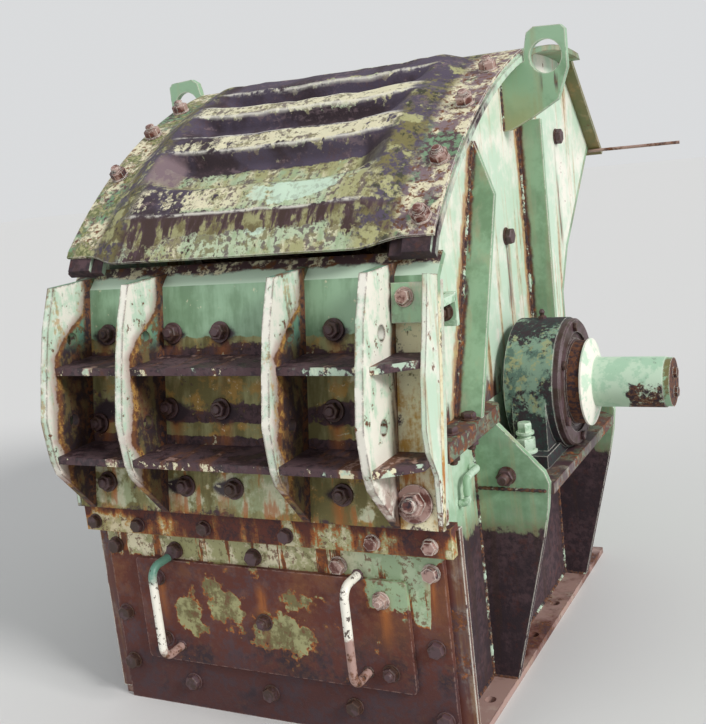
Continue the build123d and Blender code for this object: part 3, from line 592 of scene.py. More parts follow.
# Swaged cover, painted by the distance along its arch
def cover_paint():
    m = Finish("cover_paint")
    y = m.y - ARCH_Y * MM
    z = m.z - ARCH_Z * MM
    angle = m.math("ARCTAN2", z, y)
    along = (radians(ARCH_FRONT) - angle) * (ARCH_RADIUS * MM)
    out = m.math("SQRT", y * y + z * z) - (ARCH_RADIUS + COVER_THICKNESS) * MM
    flat = m.node("ShaderNodeCombineXYZ")
    m.plug(flat.inputs[0], m.x)
    m.plug(flat.inputs[1], along)
    m.plug(flat.inputs[2], out)
    flat = flat.outputs[0]
    broad = m.noise(7, place=flat, shift=71)
    mid = m.noise(28, 6, 0.7, place=flat, shift=73)
    small = m.noise(90, 4, 0.7, place=flat, shift=75)
    runs = m.noise(44, 5, 0.62, stretch=(1, 0.2, 1), place=flat, shift=77)
    across = m.noise(30, 5, 0.68, stretch=(0.35, 1, 1), place=flat, shift=83)
    distance = abs(m.x)
    # the crests bend backwards at their ends, and the paint with them
    bend = distance.curve([(0.135, 0), (0.165, 0.2), (0.19, 0.5), (0.215, 0.8), (0.245, 1)], 0, 0.4)
    along = along - bend * (CREST_BEND * MM) * along.step(0, 0.16)
    waver = along.wander(runs, 0.035)
    grain = mid * 0.4 + runs * 0.35 + small * 0.25
    m.base(m.mix(broad.step(0.42, 0.58), SLATE, PURPLE_DARK))
    m.lay((mid * 0.5 + small * 0.5).step(0.5, 0.6) * 0.5, PURPLE)
    m.lay((across * 0.6 + small * 0.4).step(0.53, 0.6) * 0.5, DUST_AND_LIT_TONE)
    # darker along the lip and the front face of the first crest, which face forward and down: partly rust,
    # partly painted shade
    m.lay(along.step(0.06, 0.04) * 0.9, m.mix(runs.step(0.42, 0.56), RUST_DARK, PURPLE))
    streaks = along.between(-0.012, 0.044, 0.008) * (runs + small * 0.2).step(0.6, 0.68)
    m.lay(streaks * 0.85, m.mix(mid.step(0.42, 0.56), OLIVE, OLIVE_LIGHT))
    # the paint shows most on the crest tops and least on the flanks and valleys: partly worn paint, partly
    # painted light, with painted shade on the faces turned forward and down
    pale = waver.curve([
        (-0.04, 0.6), (-0.015, 0.62), (0.004, 0.5), (0.02, 0.2), (0.046, 0.02), (0.054, 0.6),
        (0.104, 0.66), (0.116, 0.5), (0.14, 0.74), (0.185, 0.62), (0.205, 0.05), (0.222, 0.3),
        (0.23, 0.62), (0.268, 0.58), (0.28, 0.02), (0.35, 0.02), (0.36, 0.8), (0.392, 0.7),
        (0.402, 0.02), (0.468, 0.05), (0.478, 0.5), (0.486, 0.1), (0.52, 0.1), (0.53, 0.5),
        (0.545, 0.15), (0.62, 0.2)], -0.04, 0.62)
    reach = m.x.curve([
        (-0.4, 0.0), (-0.2, 0.0), (-0.08, 0.06), (0.1, 0.1), (0.22, 0.08), (0.4, 0.0)])
    showing = (grain + reach + pale * 0.42).step(0.75, 0.79)
    green = m.mix((runs * 0.6 + broad * 0.4).step(0.46, 0.58), OLIVE_LIGHT, CREAM)
    green = m.mix((broad * 0.6 + mid * 0.4).step(0.47, 0.56) * 0.6, green, MINT)
    # one ragged patch of clean mint on the first crest
    patch = m.x.curve([(-0.08, 0), (0.02, 0.5), (0.085, 1), (0.15, 0.75), (0.24, 0)])
    patch = patch * along.curve([(0.045, 0), (0.075, 1), (0.095, 0.95), (0.13, 0)], 0, 0.2)
    flaking = m.noise(17, 6, 0.66, stretch=(0.6, 1, 1), place=flat, shift=89)
    clean = (patch * 0.27 + flaking).step(0.66, 0.685)
    green = m.mix(clean, green, MINT_PALE)
    # cream on the crest tops: partly worn paint, partly painted light from above
    crest = either(along.between(0.357, 0.395, 0.004), along.between(0.226, 0.276, 0.004))
    green = m.mix(crest * 0.85, green, CREAM)
    front_crest = along.between(0.06, 0.112, 0.006) * m.x.step(0.06, -0.06)
    green = m.mix(front_crest * grain.step(0.42, 0.52), green, CREAM)
    m.lay(showing, green)
    # finer marks, drawn down the sheet in the valley and along it on the crests
    drawn = m.mix(crest, runs, across)
    fleck = (drawn * 0.45 + small * 0.55).step(0.5, 0.55)
    fleck = fleck * (1 - clean * 0.65)
    m.lay(showing * fleck * 0.85, m.mix(mid.step(0.45, 0.55), OLIVE, PURPLE))
    shoulder = distance.wander(mid, 0.05).step(0.235, 0.265)
    ends = m.mix(mid.step(0.46, 0.54), OLIVE, SLATE)
    ends = m.mix((runs * 0.5 + small * 0.5).step(0.5, 0.57), ends, OLIVE_DARK)
    ends = m.mix(m.noise(20, 5, 0.7, place=flat, shift=79).step(0.53, 0.6), ends, OLIVE_LIGHT)
    m.lay(shoulder * (broad + mid * 0.5).step(0.62, 0.72), ends)
    # painted light on the sloping end faces of the pans: a lighter tone at the left end, which faces the key
    # lamp, and painted shade at the right end
    end_facet_light = along.between(0.135, 0.215, 0.012) * distance.between(0.2, 0.262, 0.008)
    m.lay(end_facet_light * 0.85, m.mix(m.x.step(-0.1, 0.1), DUST_AND_LIT_TONE, PURPLE_DARK))
    outer = distance.wander(small, 0.03).step(0.305, 0.33)
    crust = m.mix(mid.step(0.46, 0.54), CREAM, DUST_AND_LIT_TONE)
    crust = m.mix(small.step(0.5, 0.6), crust, RUST_BROWN)
    crust = m.mix(broad.step(0.5, 0.56), crust, m.mix(small.step(0.45, 0.55), MINT_SHADE, PURPLE))
    mossy = m.mix(small.step(0.45, 0.58), MOSS, OLIVE_LIGHT)
    crust = m.mix(m.x.step(0.1, -0.1) * mid.step(0.47, 0.56), crust, mossy)
    m.lay(outer, crust)
    # painted highlights: pale strokes along the crest edges
    crest_highlights = peaks([0.05, 0.226, 0.274, 0.36, 0.394, 0.476, 0.531], 0.0045, -0.04)
    crest_highlights = along.wander(mid, 0.006).curve(crest_highlights, -0.04, 0.62)
    crest_highlights = crest_highlights * (across * 0.6 + small * 0.4).step(0.4, 0.5)
    m.lay(crest_highlights * distance.step(0.27, 0.23) * 0.8, CHALK_AND_HIGHLIGHT)
    edges = m.worn_edges(0.004, 0.03, 0.2)
    m.lay(edges * small.step(0.36, 0.5) * 0.8, CHALK_AND_HIGHLIGHT)
    return m.done(1 - showing, rough_paint=0.5, depth=0.0016)


cover_finish = cover_paint()


# Front bar and lower front
def bar_paint():
    m = Finish("bar_paint")
    broad = m.noise(9, stretch=(1, 1, 0.4), shift=81)
    mid = m.noise(30, 6, 0.7, shift=83)
    small = m.noise(90, 4, 0.7, shift=85)
    runs = m.noise(26, 4, 0.6, stretch=(1, 1, 0.14), shift=87)
    m.base(RED_BROWN)
    m.lay((mid * 0.6 + small * 0.4).step(0.46, 0.58), PURPLE_DARK)
    level = m.z.curve([(0.36, 0.7), (0.372, 1), (0.4, 1), (0.412, 0.5), (0.43, 0.2)], 0.36, 0.43)
    runny = broad * 0.45 + runs * 0.35 + small * 0.2
    left = m.x.curve([
        (-0.4, 0.12), (-0.17, 0.1), (-0.08, 0.02), (0.1, 0.03), (0.2, 0.1), (0.4, 0.1)])
    runny = runny + left * level + 0.025
    m.lay(runny.step(0.56, 0.6), m.mix(small.step(0.42, 0.58), RUST_ORANGE, RUST_BROWN))
    warm = m.mix(m.x.step(-0.05, 0.1), RUST_YELLOW, OLIVE_LIGHT)
    m.lay(runny.step(0.6, 0.63), warm)
    m.lay(runny.step(0.625, 0.65) * 0.8, m.mix(mid.step(0.45, 0.58), CREAM, OLIVE_LIGHT))
    fleck = (small * 0.6 + mid * 0.4).step(0.54, 0.57)
    m.lay(fleck * 0.8, m.mix(mid.step(0.45, 0.6), RUST_BROWN, RED_BROWN))
    edge = m.worn_edges(0.005) * small.step(0.4, 0.55)
    m.lay(edge * 0.5, RUST_YELLOW)
    return m.done(runny.step(0.63, 0.58), rough_paint=0.6)


give(bar_paint(), "front_bar")


def low_paint(name, shift, columns, row, region, tint, shade):
    """Dark rust without paint, with paint left where region(m, grain) is high."""
    m = Finish(name)
    broad = m.noise(7, shift=shift)
    mid = m.noise(26, 6, 0.7, shift=shift + 3)
    small = m.noise(85, 4, 0.7, shift=shift + 5)
    m.runs = m.noise(38, stretch=(1, 1, 0.1), shift=shift + 7)
    m.base(RED_BROWN)
    m.lay((mid * 0.6 + small * 0.4).step(0.44, 0.6), PURPLE)
    m.lay((broad * 0.6 + mid * 0.4).step(0.5, 0.6), PURPLE_DARK)
    m.lay((small * 0.6 + broad * 0.4).step(0.52, 0.6) * 0.45, RUST_BROWN)
    warm = m.z.step(0.13, 0.27) * (broad * 0.5 + mid * 0.5).step(0.44, 0.6)
    m.lay(warm * 0.35, RUST_ORANGE)
    m.lay(m.z.step(0.2, 0.05) * 0.5, PURPLE_DARK)
    grain = broad * 0.3 + mid * 0.45 + small * 0.25
    showing = region(m, grain)
    paint = m.mix((mid * 0.75 + m.runs * 0.25).step(0.46, 0.56), tint, shade)
    paint = m.mix(m.x.step(0.12, 0.26) * 0.7, paint, MINT)
    m.lay(showing.step(0.2, 0.4), m.mix(small.step(0.42, 0.58), RUST_ORANGE, RUST_BROWN))
    m.lay(showing.step(0.5, 0.65), paint)
    flecks = (small * 0.6 + m.runs * 0.4).step(0.52, 0.56)
    m.lay(showing.step(0.5, 0.65) * flecks * 0.8, m.mix(mid.step(0.44, 0.56), OLIVE, RUST_BROWN))
    column = m.x.wander(mid, 0.02).curve(peaks(columns, 0.018))
    below = m.z.curve([(0, 0), (row - 0.1, 0), (row - 0.01, 1), (row + 0.02, 0)], 0, 0.42)
    m.lay(column * below * m.runs.step(0.36, 0.56), RUST_ORANGE)
    edges = m.worn_edges(0.005) * small.step(0.42, 0.56)
    m.lay(edges * 0.7, PINK_DUST_AND_SHEEN)
    return m.done(showing.step(0.65, 0.5))


def front_region(m, grain):
    """Paint in a band below the bar, lower down at the right end, cut by runs of rust."""
    foot = m.x.curve([
        (-0.4, 0.8), (-0.36, 0.74), (-0.3, 0.74), (0.2, 0.74), (0.24, 0.7), (0.3, 0.56), (0.33, 0.54),
        (0.338, 0.8), (0.4, 0.9)])
    above = m.z.wander(grain, 0.09) - foot * 0.42
    cut = m.runs.step(0.6, 0.52)
    return above.step(-0.006, 0.01) * (cut * 0.7 + 0.3)


def door_region(m, grain):
    """Patches left of the middle and a painted corner at the upper right."""
    across = m.x.curve([
        (-0.24, 0), (-0.19, 0.85), (-0.08, 1), (0.02, 0.9), (0.13, 0.85), (0.17, 0)])
    tall = m.z.curve([
        (0.15, 0), (0.18, 0.7), (0.22, 1), (0.255, 0.75), (0.29, 0.1), (0.32, 0.1)], 0.1, 0.32)
    clump = m.noise(13, 4, 0.6, shift=107) * 0.6 + grain * 0.4
    patch = (clump + across * tall * 0.13).step(0.555, 0.625)
    corner = (m.x + grain * 0.1).step(0.255, 0.275) * (m.z + grain * 0.12).step(0.315, 0.325)
    return either(patch, corner)


LOW_COLUMNS = [-0.379, -0.199, -0.019, 0.161, 0.341]
give(low_paint("front_rust", 91, LOW_COLUMNS, 0.33, front_region, OLIVE_LIGHT, CREAM), "lower_front_plate")
give(low_paint("door_rust", 101, [-0.243, -0.007, 0.248], 0.27, door_region, OLIVE_LIGHT, OLIVE),
     "access_door")


def handle_paint():
    m = Finish("handle_paint")
    mid = m.noise(40, 6, 0.7, shift=111)
    small = m.noise(120, 4, 0.7, shift=113)
    height = m.z.wander(mid, 0.05) + m.x.step(0.05, -0.05) * 0.075
    m.base(m.mix(mid.step(0.45, 0.6), PINK_DUST_AND_SHEEN, RUST_BROWN))
    m.lay(height.step(0.222, 0.232), CHALK_AND_HIGHLIGHT)
    m.lay((height + m.x.step(-0.05, 0.05) * -0.03).step(0.36, 0.385), TEAL)
    spots = (mid * 0.5 + small * 0.5).step(0.545, 0.575)
    m.lay(spots * 0.9, RUST_DARK)
    return m.done(either(spots, height.step(0.232, 0.222)))


give(handle_paint(), "door_handles")


# Bearings and shaft
def turned(name, shift, paint, shade, rust, rust_colour, edge_colour=CHALK_AND_HIGHLIGHT, edge=0.6, part=None):
    m = Finish(name)
    broad = m.noise(9, shift=shift)
    mid = m.noise(30, 6, 0.7, shift=shift + 3)
    small = m.noise(110, 4, 0.7, shift=shift + 5)
    m.base(paint)
    m.lay(mid.step(0.46, 0.56), shade)
    field = broad * 0.35 + mid * 0.4 + small * 0.25
    if part:
        field = part(m, field)
    mask = field.step(0.68 - 0.3 * rust, 0.73 - 0.3 * rust)
    m.lay(mask, m.mix(small.step(0.42, 0.58), rust_colour, PURPLE_DARK))
    edges = m.worn_edges(0.004, 0.03, 0.2) * small.step(0.34, 0.48)
    m.lay(edges * edge, edge_colour)
    return m.done(mask, rough_paint=0.5)


def dark_below(m, field):
    """Darker towards the bottom of the barrel and just under its top."""
    m.lay(m.noise(60, 4, 0.7, shift=127).step(0.52, 0.6) * 0.7, OLIVE_LIGHT)
    return field + m.z.curve([
        (0.4, 0.16), (0.47, 0.12), (0.52, 0.0), (0.63, 0.0), (0.66, 0.07)], 0.4, 0.68)


def rusty_end_and_lower_shade(m, field):
    """Paint lost on the lower half near the shaft's end, and the lower side of the shaft in a darker mint as
    painted shade.
    """
    end = m.x.step(0.555, 0.6) * m.z.step(0.58, 0.54)
    m.lay(m.z.step(0.55, 0.51) * 0.4, MINT)
    return field + end * 0.17


def hub_dark(m, field):
    """Only the disc and cone at the outer end keep their paint."""
    return field + m.x.step(0.502, 0.4985) * 0.4


def bolt_ends(m, field):
    return field + m.x.step(0.664, 0.666) * 0.4


BEARING_PALE = tone(128, 154, 134)
BEARING_GREY = tone(86, 112, 100)
BEARING_DARK = tone(44, 56, 54)
SHAFT_SHADE = tone(172, 206, 178)
give(turned("bearing_paint", 121, BEARING_PALE, BEARING_GREY, 0.64, BEARING_DARK, part=dark_below),
     *sides("bearing_housing"))
give(turned("cap_paint", 131, PURPLE, RUST_DARK, 0.4, RUST_BROWN, edge=0.35), *sides("bearing_cap"))
give(turned("collar_paint", 141, CHALK_AND_HIGHLIGHT, MINT_PALE, 0.1, RUST_BROWN, part=hub_dark), "shaft_collar")
give(turned("shaft_paint", 151, MINT_PALE, SHAFT_SHADE, 0.3, RUST_BROWN, part=rusty_end_and_lower_shade), "drive_shaft")
give(turned("end_plate_paint", 161, MINT, OLIVE, 0.4, RUST_BROWN, part=bolt_ends), "shaft_end_plate")


# Bolts, nuts and washers
SIDES = ((1, "right"), (-1, "left"))
FORWARD = (0, -1, 0)
UP = (0, 0, 1)
DOWN = (0, 0, -1)

# Widths across the flats of the usual nuts, and the radius of their washers
M10 = 17
M16 = 24
M18 = 27
M20 = 30
M24 = 36
WASHERS = {M16: 15, M18: 17, M20: 18.5}


def skin(mesh, loops):
    """Faces over a row of loops, with both ends closed."""
    mesh.faces.new(loops[0][::-1])
    mesh.faces.new(loops[-1])
    for low, high in zip(loops, loops[1:]):
        for index in range(len(low)):
            after = (index + 1) % len(low)
            mesh.faces.new((low[index], low[after], high[after], high[index]))


def stack(mesh, at, rings, count, turn=0.0):
    """A closed round or hexagonal piece through (radius, height) rings, in millimetres."""
    loops = []
    for radius, height in rings:
        loop = []
        for index in range(count):
            angle = turn + tau * index / count
            loop.append(mesh.verts.new(at @ Vector((radius * cos(angle), radius * sin(angle), height))))
        loops.append(loop)
    skin(mesh, loops)


def seat(place, out):
    """A frame in metres, at a place in millimetres, with its Z along out."""
    turn = Vector(out).normalized().to_track_quat("Z", "Y").to_matrix().to_4x4()
    return Matrix.Translation(Vector(place) * MM) @ turn @ Matrix.Scale(MM, 4)


def screw(mesh, place, out, flats=M20, washer=None, plate=3.0, head=13.0, stub=0.0):
    """Washer, hexagonal head or nut, and the thread that stands out of a nut."""
    at = seat(place, out)
    turn = dice.uniform(0, tau)
    tip = Vector((dice.uniform(-0.03, 0.03), dice.uniform(-0.03, 0.03), 1)).to_track_quat("Z", "Y")
    if washer is None:
        washer = WASHERS[flats]
    if washer:
        rings = [(washer - 0.6, -0.2), (washer, 0.4), (washer, plate - 0.6), (washer - 0.8, plate)]
        stack(mesh, at, rings, 28)
    at = at @ tip.to_matrix().to_4x4()
    corner = flats / sqrt(3)
    foot, chamfer = (1.2, 1.6) if stub else (1.4, 2.2)
    stack(mesh, at, [(corner * 0.9, plate - 0.4), (corner, plate + foot), (corner, plate + head - chamfer),
                     (corner * 0.9, plate + head)], 6, turn)
    if stub:
        radius = flats / 3
        thread = [(radius * 0.8, plate)]
        steps = max(2, int(stub / 2.5))
        for index in range(steps):
            low = plate + head - 1 + stub * index / steps
            thread += [(radius * 0.9, low), (radius, low + 1.1)]
        thread.append((radius * 0.8, plate + head + stub))
        stack(mesh, at, thread, 14)


def piece(name, mesh, material, body="housing"):
    data = bpy.data.meshes.new(name)
    mesh.normal_update()
    mesh.to_mesh(data)
    mesh.free()
    for face in data.polygons:
        face.use_smooth = True
    data.set_sharp_from_angle(angle=radians(34))
    data.materials.append(material)
    result = bpy.data.objects.new(name, data)
    scene.collection.objects.link(result)
    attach(result, body)
    return result


def bolt_set(name, places, out, material, **sizes):
    mesh = bmesh.new()
    for place in places:
        screw(mesh, place, out, **sizes)
    piece(name, mesh, material)


def on_panel(x, up, out=0):
    foot = Vector((x, PANEL_FOOT[0], PANEL_FOOT[1]))
    return foot + UP_PLATE * up + OUT_OF_PLATE * out


def on_face(y, places):
    """Places on a face that looks forward, from (x, z) pairs."""
    return [(x, y, z) for x, z in places]


bolt_rust = turned("bolt_rust", 171, PURPLE, RUST_DARK, 0.35, PURPLE_DARK, edge_colour=RUST_BROWN)
mint_bolt = turned("mint_bolt", 181, MINT_PALE, MINT, 0.1, RUST_BROWN)
# a lit copy of the bolt paint: paler, with painted highlights on the edges
sunlit_bolt = turned("sunlit_bolt", 191, PINK_DUST_AND_SHEEN, RED_BROWN, 0.5, PURPLE, edge=0.9)

bolt_set("panel_bolts", [on_panel(x, up) for x, up in PANEL_BOLTS], OUT_OF_PLATE, bolt_rust,
         flats=M18, washer=20, plate=5, head=12, stub=5)
bolt_set("panel_corner_nut", [on_panel(340, 44)], OUT_OF_PLATE, sunlit_bolt,
         flats=M24, washer=33, plate=6, head=19, stub=10)
CLAMP_THICKNESS = 20
bolt_set("clamp_bolt", [on_panel(339, 388, CLAMP_THICKNESS)], OUT_OF_PLATE, sunlit_bolt,
         flats=M16, washer=17, head=10)

BAR_FACE = -530
BAR_ROW = 392
dark_places = [(x, BAR_ROW + dice.uniform(-3, 3)) for x in (-368, -262, -106, 72)]
bolt_set("bar_bolts", on_face(BAR_FACE, dark_places), FORWARD, bolt_rust, flats=M16, head=10)
bolt_set("bar_bolts_sunlit", on_face(BAR_FACE, [(246, BAR_ROW), (354, BAR_ROW)]), FORWARD, sunlit_bolt,
         flats=M16, head=10)

FRONT_FACE = -508
FRONT_BOLTS = [(-199, 334), (-19, 334), (-199, 57), (-19, 57), (161, 57), (341, 57), (337, 193),
               (-344, 334), (-344, 190), (-344, 84)]
bolt_set("front_bolts", on_face(FRONT_FACE, FRONT_BOLTS), FORWARD, bolt_rust, flats=M18, head=12)
bolt_set("front_bolts_sunlit", on_face(FRONT_FACE, [(161, 334), (341, 334)]), FORWARD, sunlit_bolt,
         flats=M18, head=12)

DOOR_FACE = -518
DOOR_BOLTS = [(248, 140), (-7, 209), (-243, 148), (-243, 278)]
door_nut = {"flats": M16, "washer": 17, "head": 11, "stub": 6}
bolt_set("door_bolts", on_face(DOOR_FACE, DOOR_BOLTS), FORWARD, bolt_rust, **door_nut)
bolt_set("door_bolt_sunlit", on_face(DOOR_FACE, [(243, 278)]), FORWARD, sunlit_bolt, **door_nut)


def on_arch(x, y, z):
    """Place on the cover's outer face and the direction out of it."""
    out = Vector((0, y - ARCH_Y, z - ARCH_Z)).normalized()
    return Vector((x, ARCH_Y, ARCH_Z)) + out * (ARCH_RADIUS + COVER_THICKNESS), out


COVER_BOLT_X = 362
COVER_BOLTS = {1: [(-68, 1200), (-214, 1147), (-365, 1054), (-456, 946)],
               -1: [(-68, 1200), (-181, 1147), (-303, 1051)]}
mesh = bmesh.new()
for side, places in COVER_BOLTS.items():
    for y, z in places:
        place, out = on_arch(COVER_BOLT_X * side, y, z)
        screw(mesh, place, out, head=15, stub=9)
piece("cover_bolts", mesh, sunlit_bolt)

# Faces and places of the bolts on the side walls and bearings
WALL_BOLTS = ((29, 845), (440, 1029))
SPLIT_BOLTS = (-430, -340, 230, 350)
SPLIT_BOLT_X = 368
SPLIT_TOP = 560
SPLIT_UNDER = 528
SHELF_TOP = 438
STUD_X = 404
STUD_Y = 146
JACK_X = 402
JACK_Z = 429
GREASE_X = 411
GUSSET_OUTER = 262
GUSSET_INNER = 248
BARREL_TOP = AXIS_Z + 132
CAP_FACE = 475
CAP_BOLT_RING = 113
CAP_BOLTS = 6


def foot_stud(mesh, foot):
    """A large nut on its washer, with a smaller nut on top of it."""
    corner = M24 / sqrt(3)
    stack(mesh, foot, [(21, -0.2), (22, 1), (22, 5), (21, 6)], 28)
    stack(mesh, foot, [(corner * 0.92, 5.6), (corner, 8), (corner, 27), (corner * 0.9, 30)], 6,
          dice.uniform(0, 1))
    stack(mesh, foot, [(11, 29), (11, 38)], 16)
    stack(mesh, foot, [(17, 37), (18, 38), (18, 42), (17, 43)], 24)
    upper_nut = [(corner * 0.68, 42.6), (corner * 0.72, 45), (corner * 0.72, 58), (corner * 0.62, 61)]
    stack(mesh, foot, upper_nut, 6, dice.uniform(0, 1))


for side, word in SIDES:
    on_wall = [(side * WALL_X, y, z) for y, z in WALL_BOLTS]
    bolt_set("wall_bolts_" + word, on_wall, (side, 0, 0), bolt_rust)
    mesh = bmesh.new()
    for y in SPLIT_BOLTS:
        screw(mesh, (side * SPLIT_BOLT_X, y, SPLIT_TOP), UP, flats=M16, head=10)
        screw(mesh, (side * SPLIT_BOLT_X, y, SPLIT_UNDER), DOWN, flats=M16, stub=8)
    piece("split_flange_bolts_" + word, mesh, bolt_rust)
    mesh = bmesh.new()
    for y in (-STUD_Y, STUD_Y):
        foot_stud(mesh, seat((side * STUD_X, y, SHELF_TOP), UP))
    piece("bearing_foot_studs_" + word, mesh, mint_bolt)
    mesh = bmesh.new()
    top = seat((side * GREASE_X, 0, BARREL_TOP), UP)
    stack(mesh, top, [(9, -2), (9, 5), (7, 6)], 6)
    stack(mesh, top, [(4.5, 5), (4.5, 10), (6, 12), (6, 15), (3.5, 19), (2, 20)], 16)
    piece("grease_fitting_" + word, mesh, bolt_rust)
    mesh = bmesh.new()
    for end in (-1, 1):
        for face, out, stub in ((GUSSET_OUTER, end, 16), (GUSSET_INNER, -end, 50)):
            screw(mesh, (side * JACK_X, end * face, JACK_Z), (0, out, 0), washer=18, head=16, stub=stub)
    piece("jack_bolts_" + word, mesh, bolt_rust)
    mesh = bmesh.new()
    for index in range(CAP_BOLTS):
        angle = tau * (index + 0.5) / CAP_BOLTS
        place = (side * CAP_FACE, CAP_BOLT_RING * cos(angle), AXIS_Z + CAP_BOLT_RING * sin(angle))
        screw(mesh, place, (side, 0, 0), flats=M10, washer=0, plate=0, head=7)
    piece("cap_bolts_" + word, mesh, bolt_rust)

# The inlet flange lies in the plane where y and z add up to this, and faces up and back at 45 degrees
INLET_PLANE = 1730
inlet_places = [(x, y, INLET_PLANE - y) for x in (-352, 352) for y in (540, 690)]
bolt_set("inlet_bolts", inlet_places, (0, 0.7071, 0.7071), sunlit_bolt, flats=M16, head=12, stub=8)


# Clamp on the side of each wall: a strap to the panel's seat, its lug and bolt, and a bent hook below
def bar(mesh, one, other):
    """A flat bar with small bevels, between two corners in millimetres."""
    made = bmesh.ops.create_cube(mesh, size=1)["verts"]
    low = [min(pair) for pair in zip(one, other)]
    high = [max(pair) for pair in zip(one, other)]
    for vert in made:
        vert.co = Vector([(a + b) / 2 + c * (b - a) for a, b, c in zip(low, high, vert.co)]) * MM
    edges = list({edge for vert in made for edge in vert.link_edges})
    bmesh.ops.bevel(mesh, geom=edges, offset=1.2 * MM, segments=2, affect="EDGES", profile=0.6)


def tube(mesh, points, radius, lumps=0.0, step=4.0, around=8):
    """A round bar or a rippled weld bead along points in millimetres."""
    points = [Vector(point) for point in points]
    line = [points[0]]
    for start, end in zip(points, points[1:]):
        count = max(1, round((end - start).length / step))
        line += [start.lerp(end, index / count) for index in range(1, count + 1)]
    loops = []
    for index, at in enumerate(line):
        ahead = (line[min(index + 1, len(line) - 1)] - line[max(index - 1, 0)]).normalized()
        turn = ahead.to_track_quat("Z", "Y")
        ripple = 1 + lumps * (sin(index * 2.1) + 0.8 * noise.noise(at * 0.09))
        if index in (0, len(line) - 1):
            ripple *= 0.5
        ring = [Vector((cos(tau * k / around), sin(tau * k / around), 0)) for k in range(around)]
        loops.append([mesh.verts.new((at + turn @ spoke * radius * ripple) * MM) for spoke in ring])
    skin(mesh, loops)


def arc_points(corner, first, second, radius, steps=6):
    """Points that round off a corner between two directions."""
    corner = Vector(corner)
    start = corner - Vector(first) * radius
    end = corner + Vector(second) * radius
    shares = [k / steps for k in range(steps + 1)]
    return [start.lerp(corner, share).lerp(corner.lerp(end, share), share) for share in shares]


weld_paint = turned("weld_paint", 201, MINT_PALE, RUST_ORANGE, 0.8, RUST_BROWN, edge=0.1)
LEAN_FOOT = (-333, 560)
LEAN_TOP = (-120, 1046)
STIFFENER = 12
BASE_TOP = 14
OUTER_X = 388
LUG_FACES = (72, 88)
LUG_BACK = -384
LUG_FRONT = -396
STRAP_BOLT = 364
HOOK_FRONT = -352
HOOK_BACK = -290
HOOK_X = 356
HOOK_LOW = 404
HOOK_TOP = 452


def side_clamp(side, word):
    mesh = bmesh.new()
    bar(mesh, (side * 368, -452, 785), (side * 386, -392, 799))
    bar(mesh, (side * 337, LUG_FRONT, 742), (side * 386, LUG_BACK, 801))
    piece("side_clamp_" + word, mesh, mint_bolt)
    mesh = bmesh.new()
    screw(mesh, (side * STRAP_BOLT, LUG_BACK, 768), (0, 1, 0), flats=M18, head=14, stub=12)
    screw(mesh, (side * STRAP_BOLT, LUG_FRONT, 768), FORWARD, flats=M18, head=12, stub=30)
    piece("side_clamp_bolt_" + word, mesh, bolt_rust)


def side_hook(side, word):
    mesh = bmesh.new()
    x = side * HOOK_X
    root = side * (WALL_X - 1)
    tube(mesh, [(root, HOOK_FRONT, HOOK_LOW),
                *arc_points((x, HOOK_FRONT, HOOK_LOW), (side, 0, 0), UP, 12),
                *arc_points((x, HOOK_FRONT, HOOK_TOP), UP, (0, 1, 0), 18), (x, -300, HOOK_TOP),
                *arc_points((x, HOOK_BACK, HOOK_TOP), (0, 1, 0), (-side, 0, 0), 10),
                (root, HOOK_BACK, HOOK_TOP)], 7, around=14)
    piece("side_hook_" + word, mesh, mint_bolt)


def weld_beads(side, word):
    mesh = bmesh.new()
    x = side * WALL_X
    gussets = (-GUSSET_OUTER, -GUSSET_INNER, GUSSET_INNER, GUSSET_OUTER)
    upright = [(y, 560, 1074) for y in (160, 160 + STIFFENER)] + [(y, 16, 390) for y in gussets]
    upright += [(y, 392, 527) for y in (-GUSSET_OUTER, GUSSET_OUTER)] + [(y, 1057, 1180) for y in LUG_FACES]
    beads = [[(x, y, foot), (x, y, top)] for y, foot, top in upright]
    for back in (0, STIFFENER):
        beads.append([(x, y + back, z) for y, z in (LEAN_FOOT, LEAN_TOP)])
    beads += [[(x, y, BASE_TOP), (side * OUTER_X, y, BASE_TOP)] for y in gussets]
    beads += [[(x, y, BASE_TOP), (x, end, BASE_TOP)] for y, end in ((-495, -264), (-247, 247), (264, 411))]
    for bead in beads:
        tube(mesh, bead, 4, 0.16)
    tube(mesh, [(x, *LEAN_FOOT), (side * OUTER_X, *LEAN_FOOT)], 3.5, 0.16)
    for y in (-GUSSET_OUTER, GUSSET_OUTER):
        tube(mesh, [(side * 342, y, 402), (side * 476, y, 402)], 3.5, 0.2)
    piece("weld_beads_" + word, mesh, weld_paint)


for side, word in SIDES:
    side_clamp(side, word)
    side_hook(side, word)
    weld_beads(side, word)

HANDLE_ENDS = [(x, z) for x in (-210, 202) for z in (136, 322)]
mesh = bmesh.new()
for x, z in HANDLE_ENDS:
    ring = [(x + 9 * cos(tau * k / 20), DOOR_FACE - 0.5, z + 9 * sin(tau * k / 20)) for k in range(21)]
    tube(mesh, ring, 2.5, 0.2, step=3)
piece("handle_welds", mesh, bolt_rust)


# Swaged cover as a thin pressed sheet, with rounded swages and the dents of long use
COVER_END = 617.8
SWAGE_PLACES = (50, 224, 359, 476)
SWAGE_WIDTHS = (62, 52, 36, 56)
FRONT_FLANK = 17
BACK_FLANK = 39
SWAGE_HEIGHT = 24
VALLEY = 9
LIP_RISE = 15
LIP_PUSH = 16
LIP_LENGTH = 36
LIP_MARGIN_LENGTH = 12
LEG_ANGLE = radians(61)
PAN_X = 195
SHOULDER_X = 255
MARGIN_X = 335
COVER_COLUMNS = 130
COVER_ROWS = 150


def ease(share):
    share = min(1, max(0, share))
    return share * share * (3 - 2 * share)


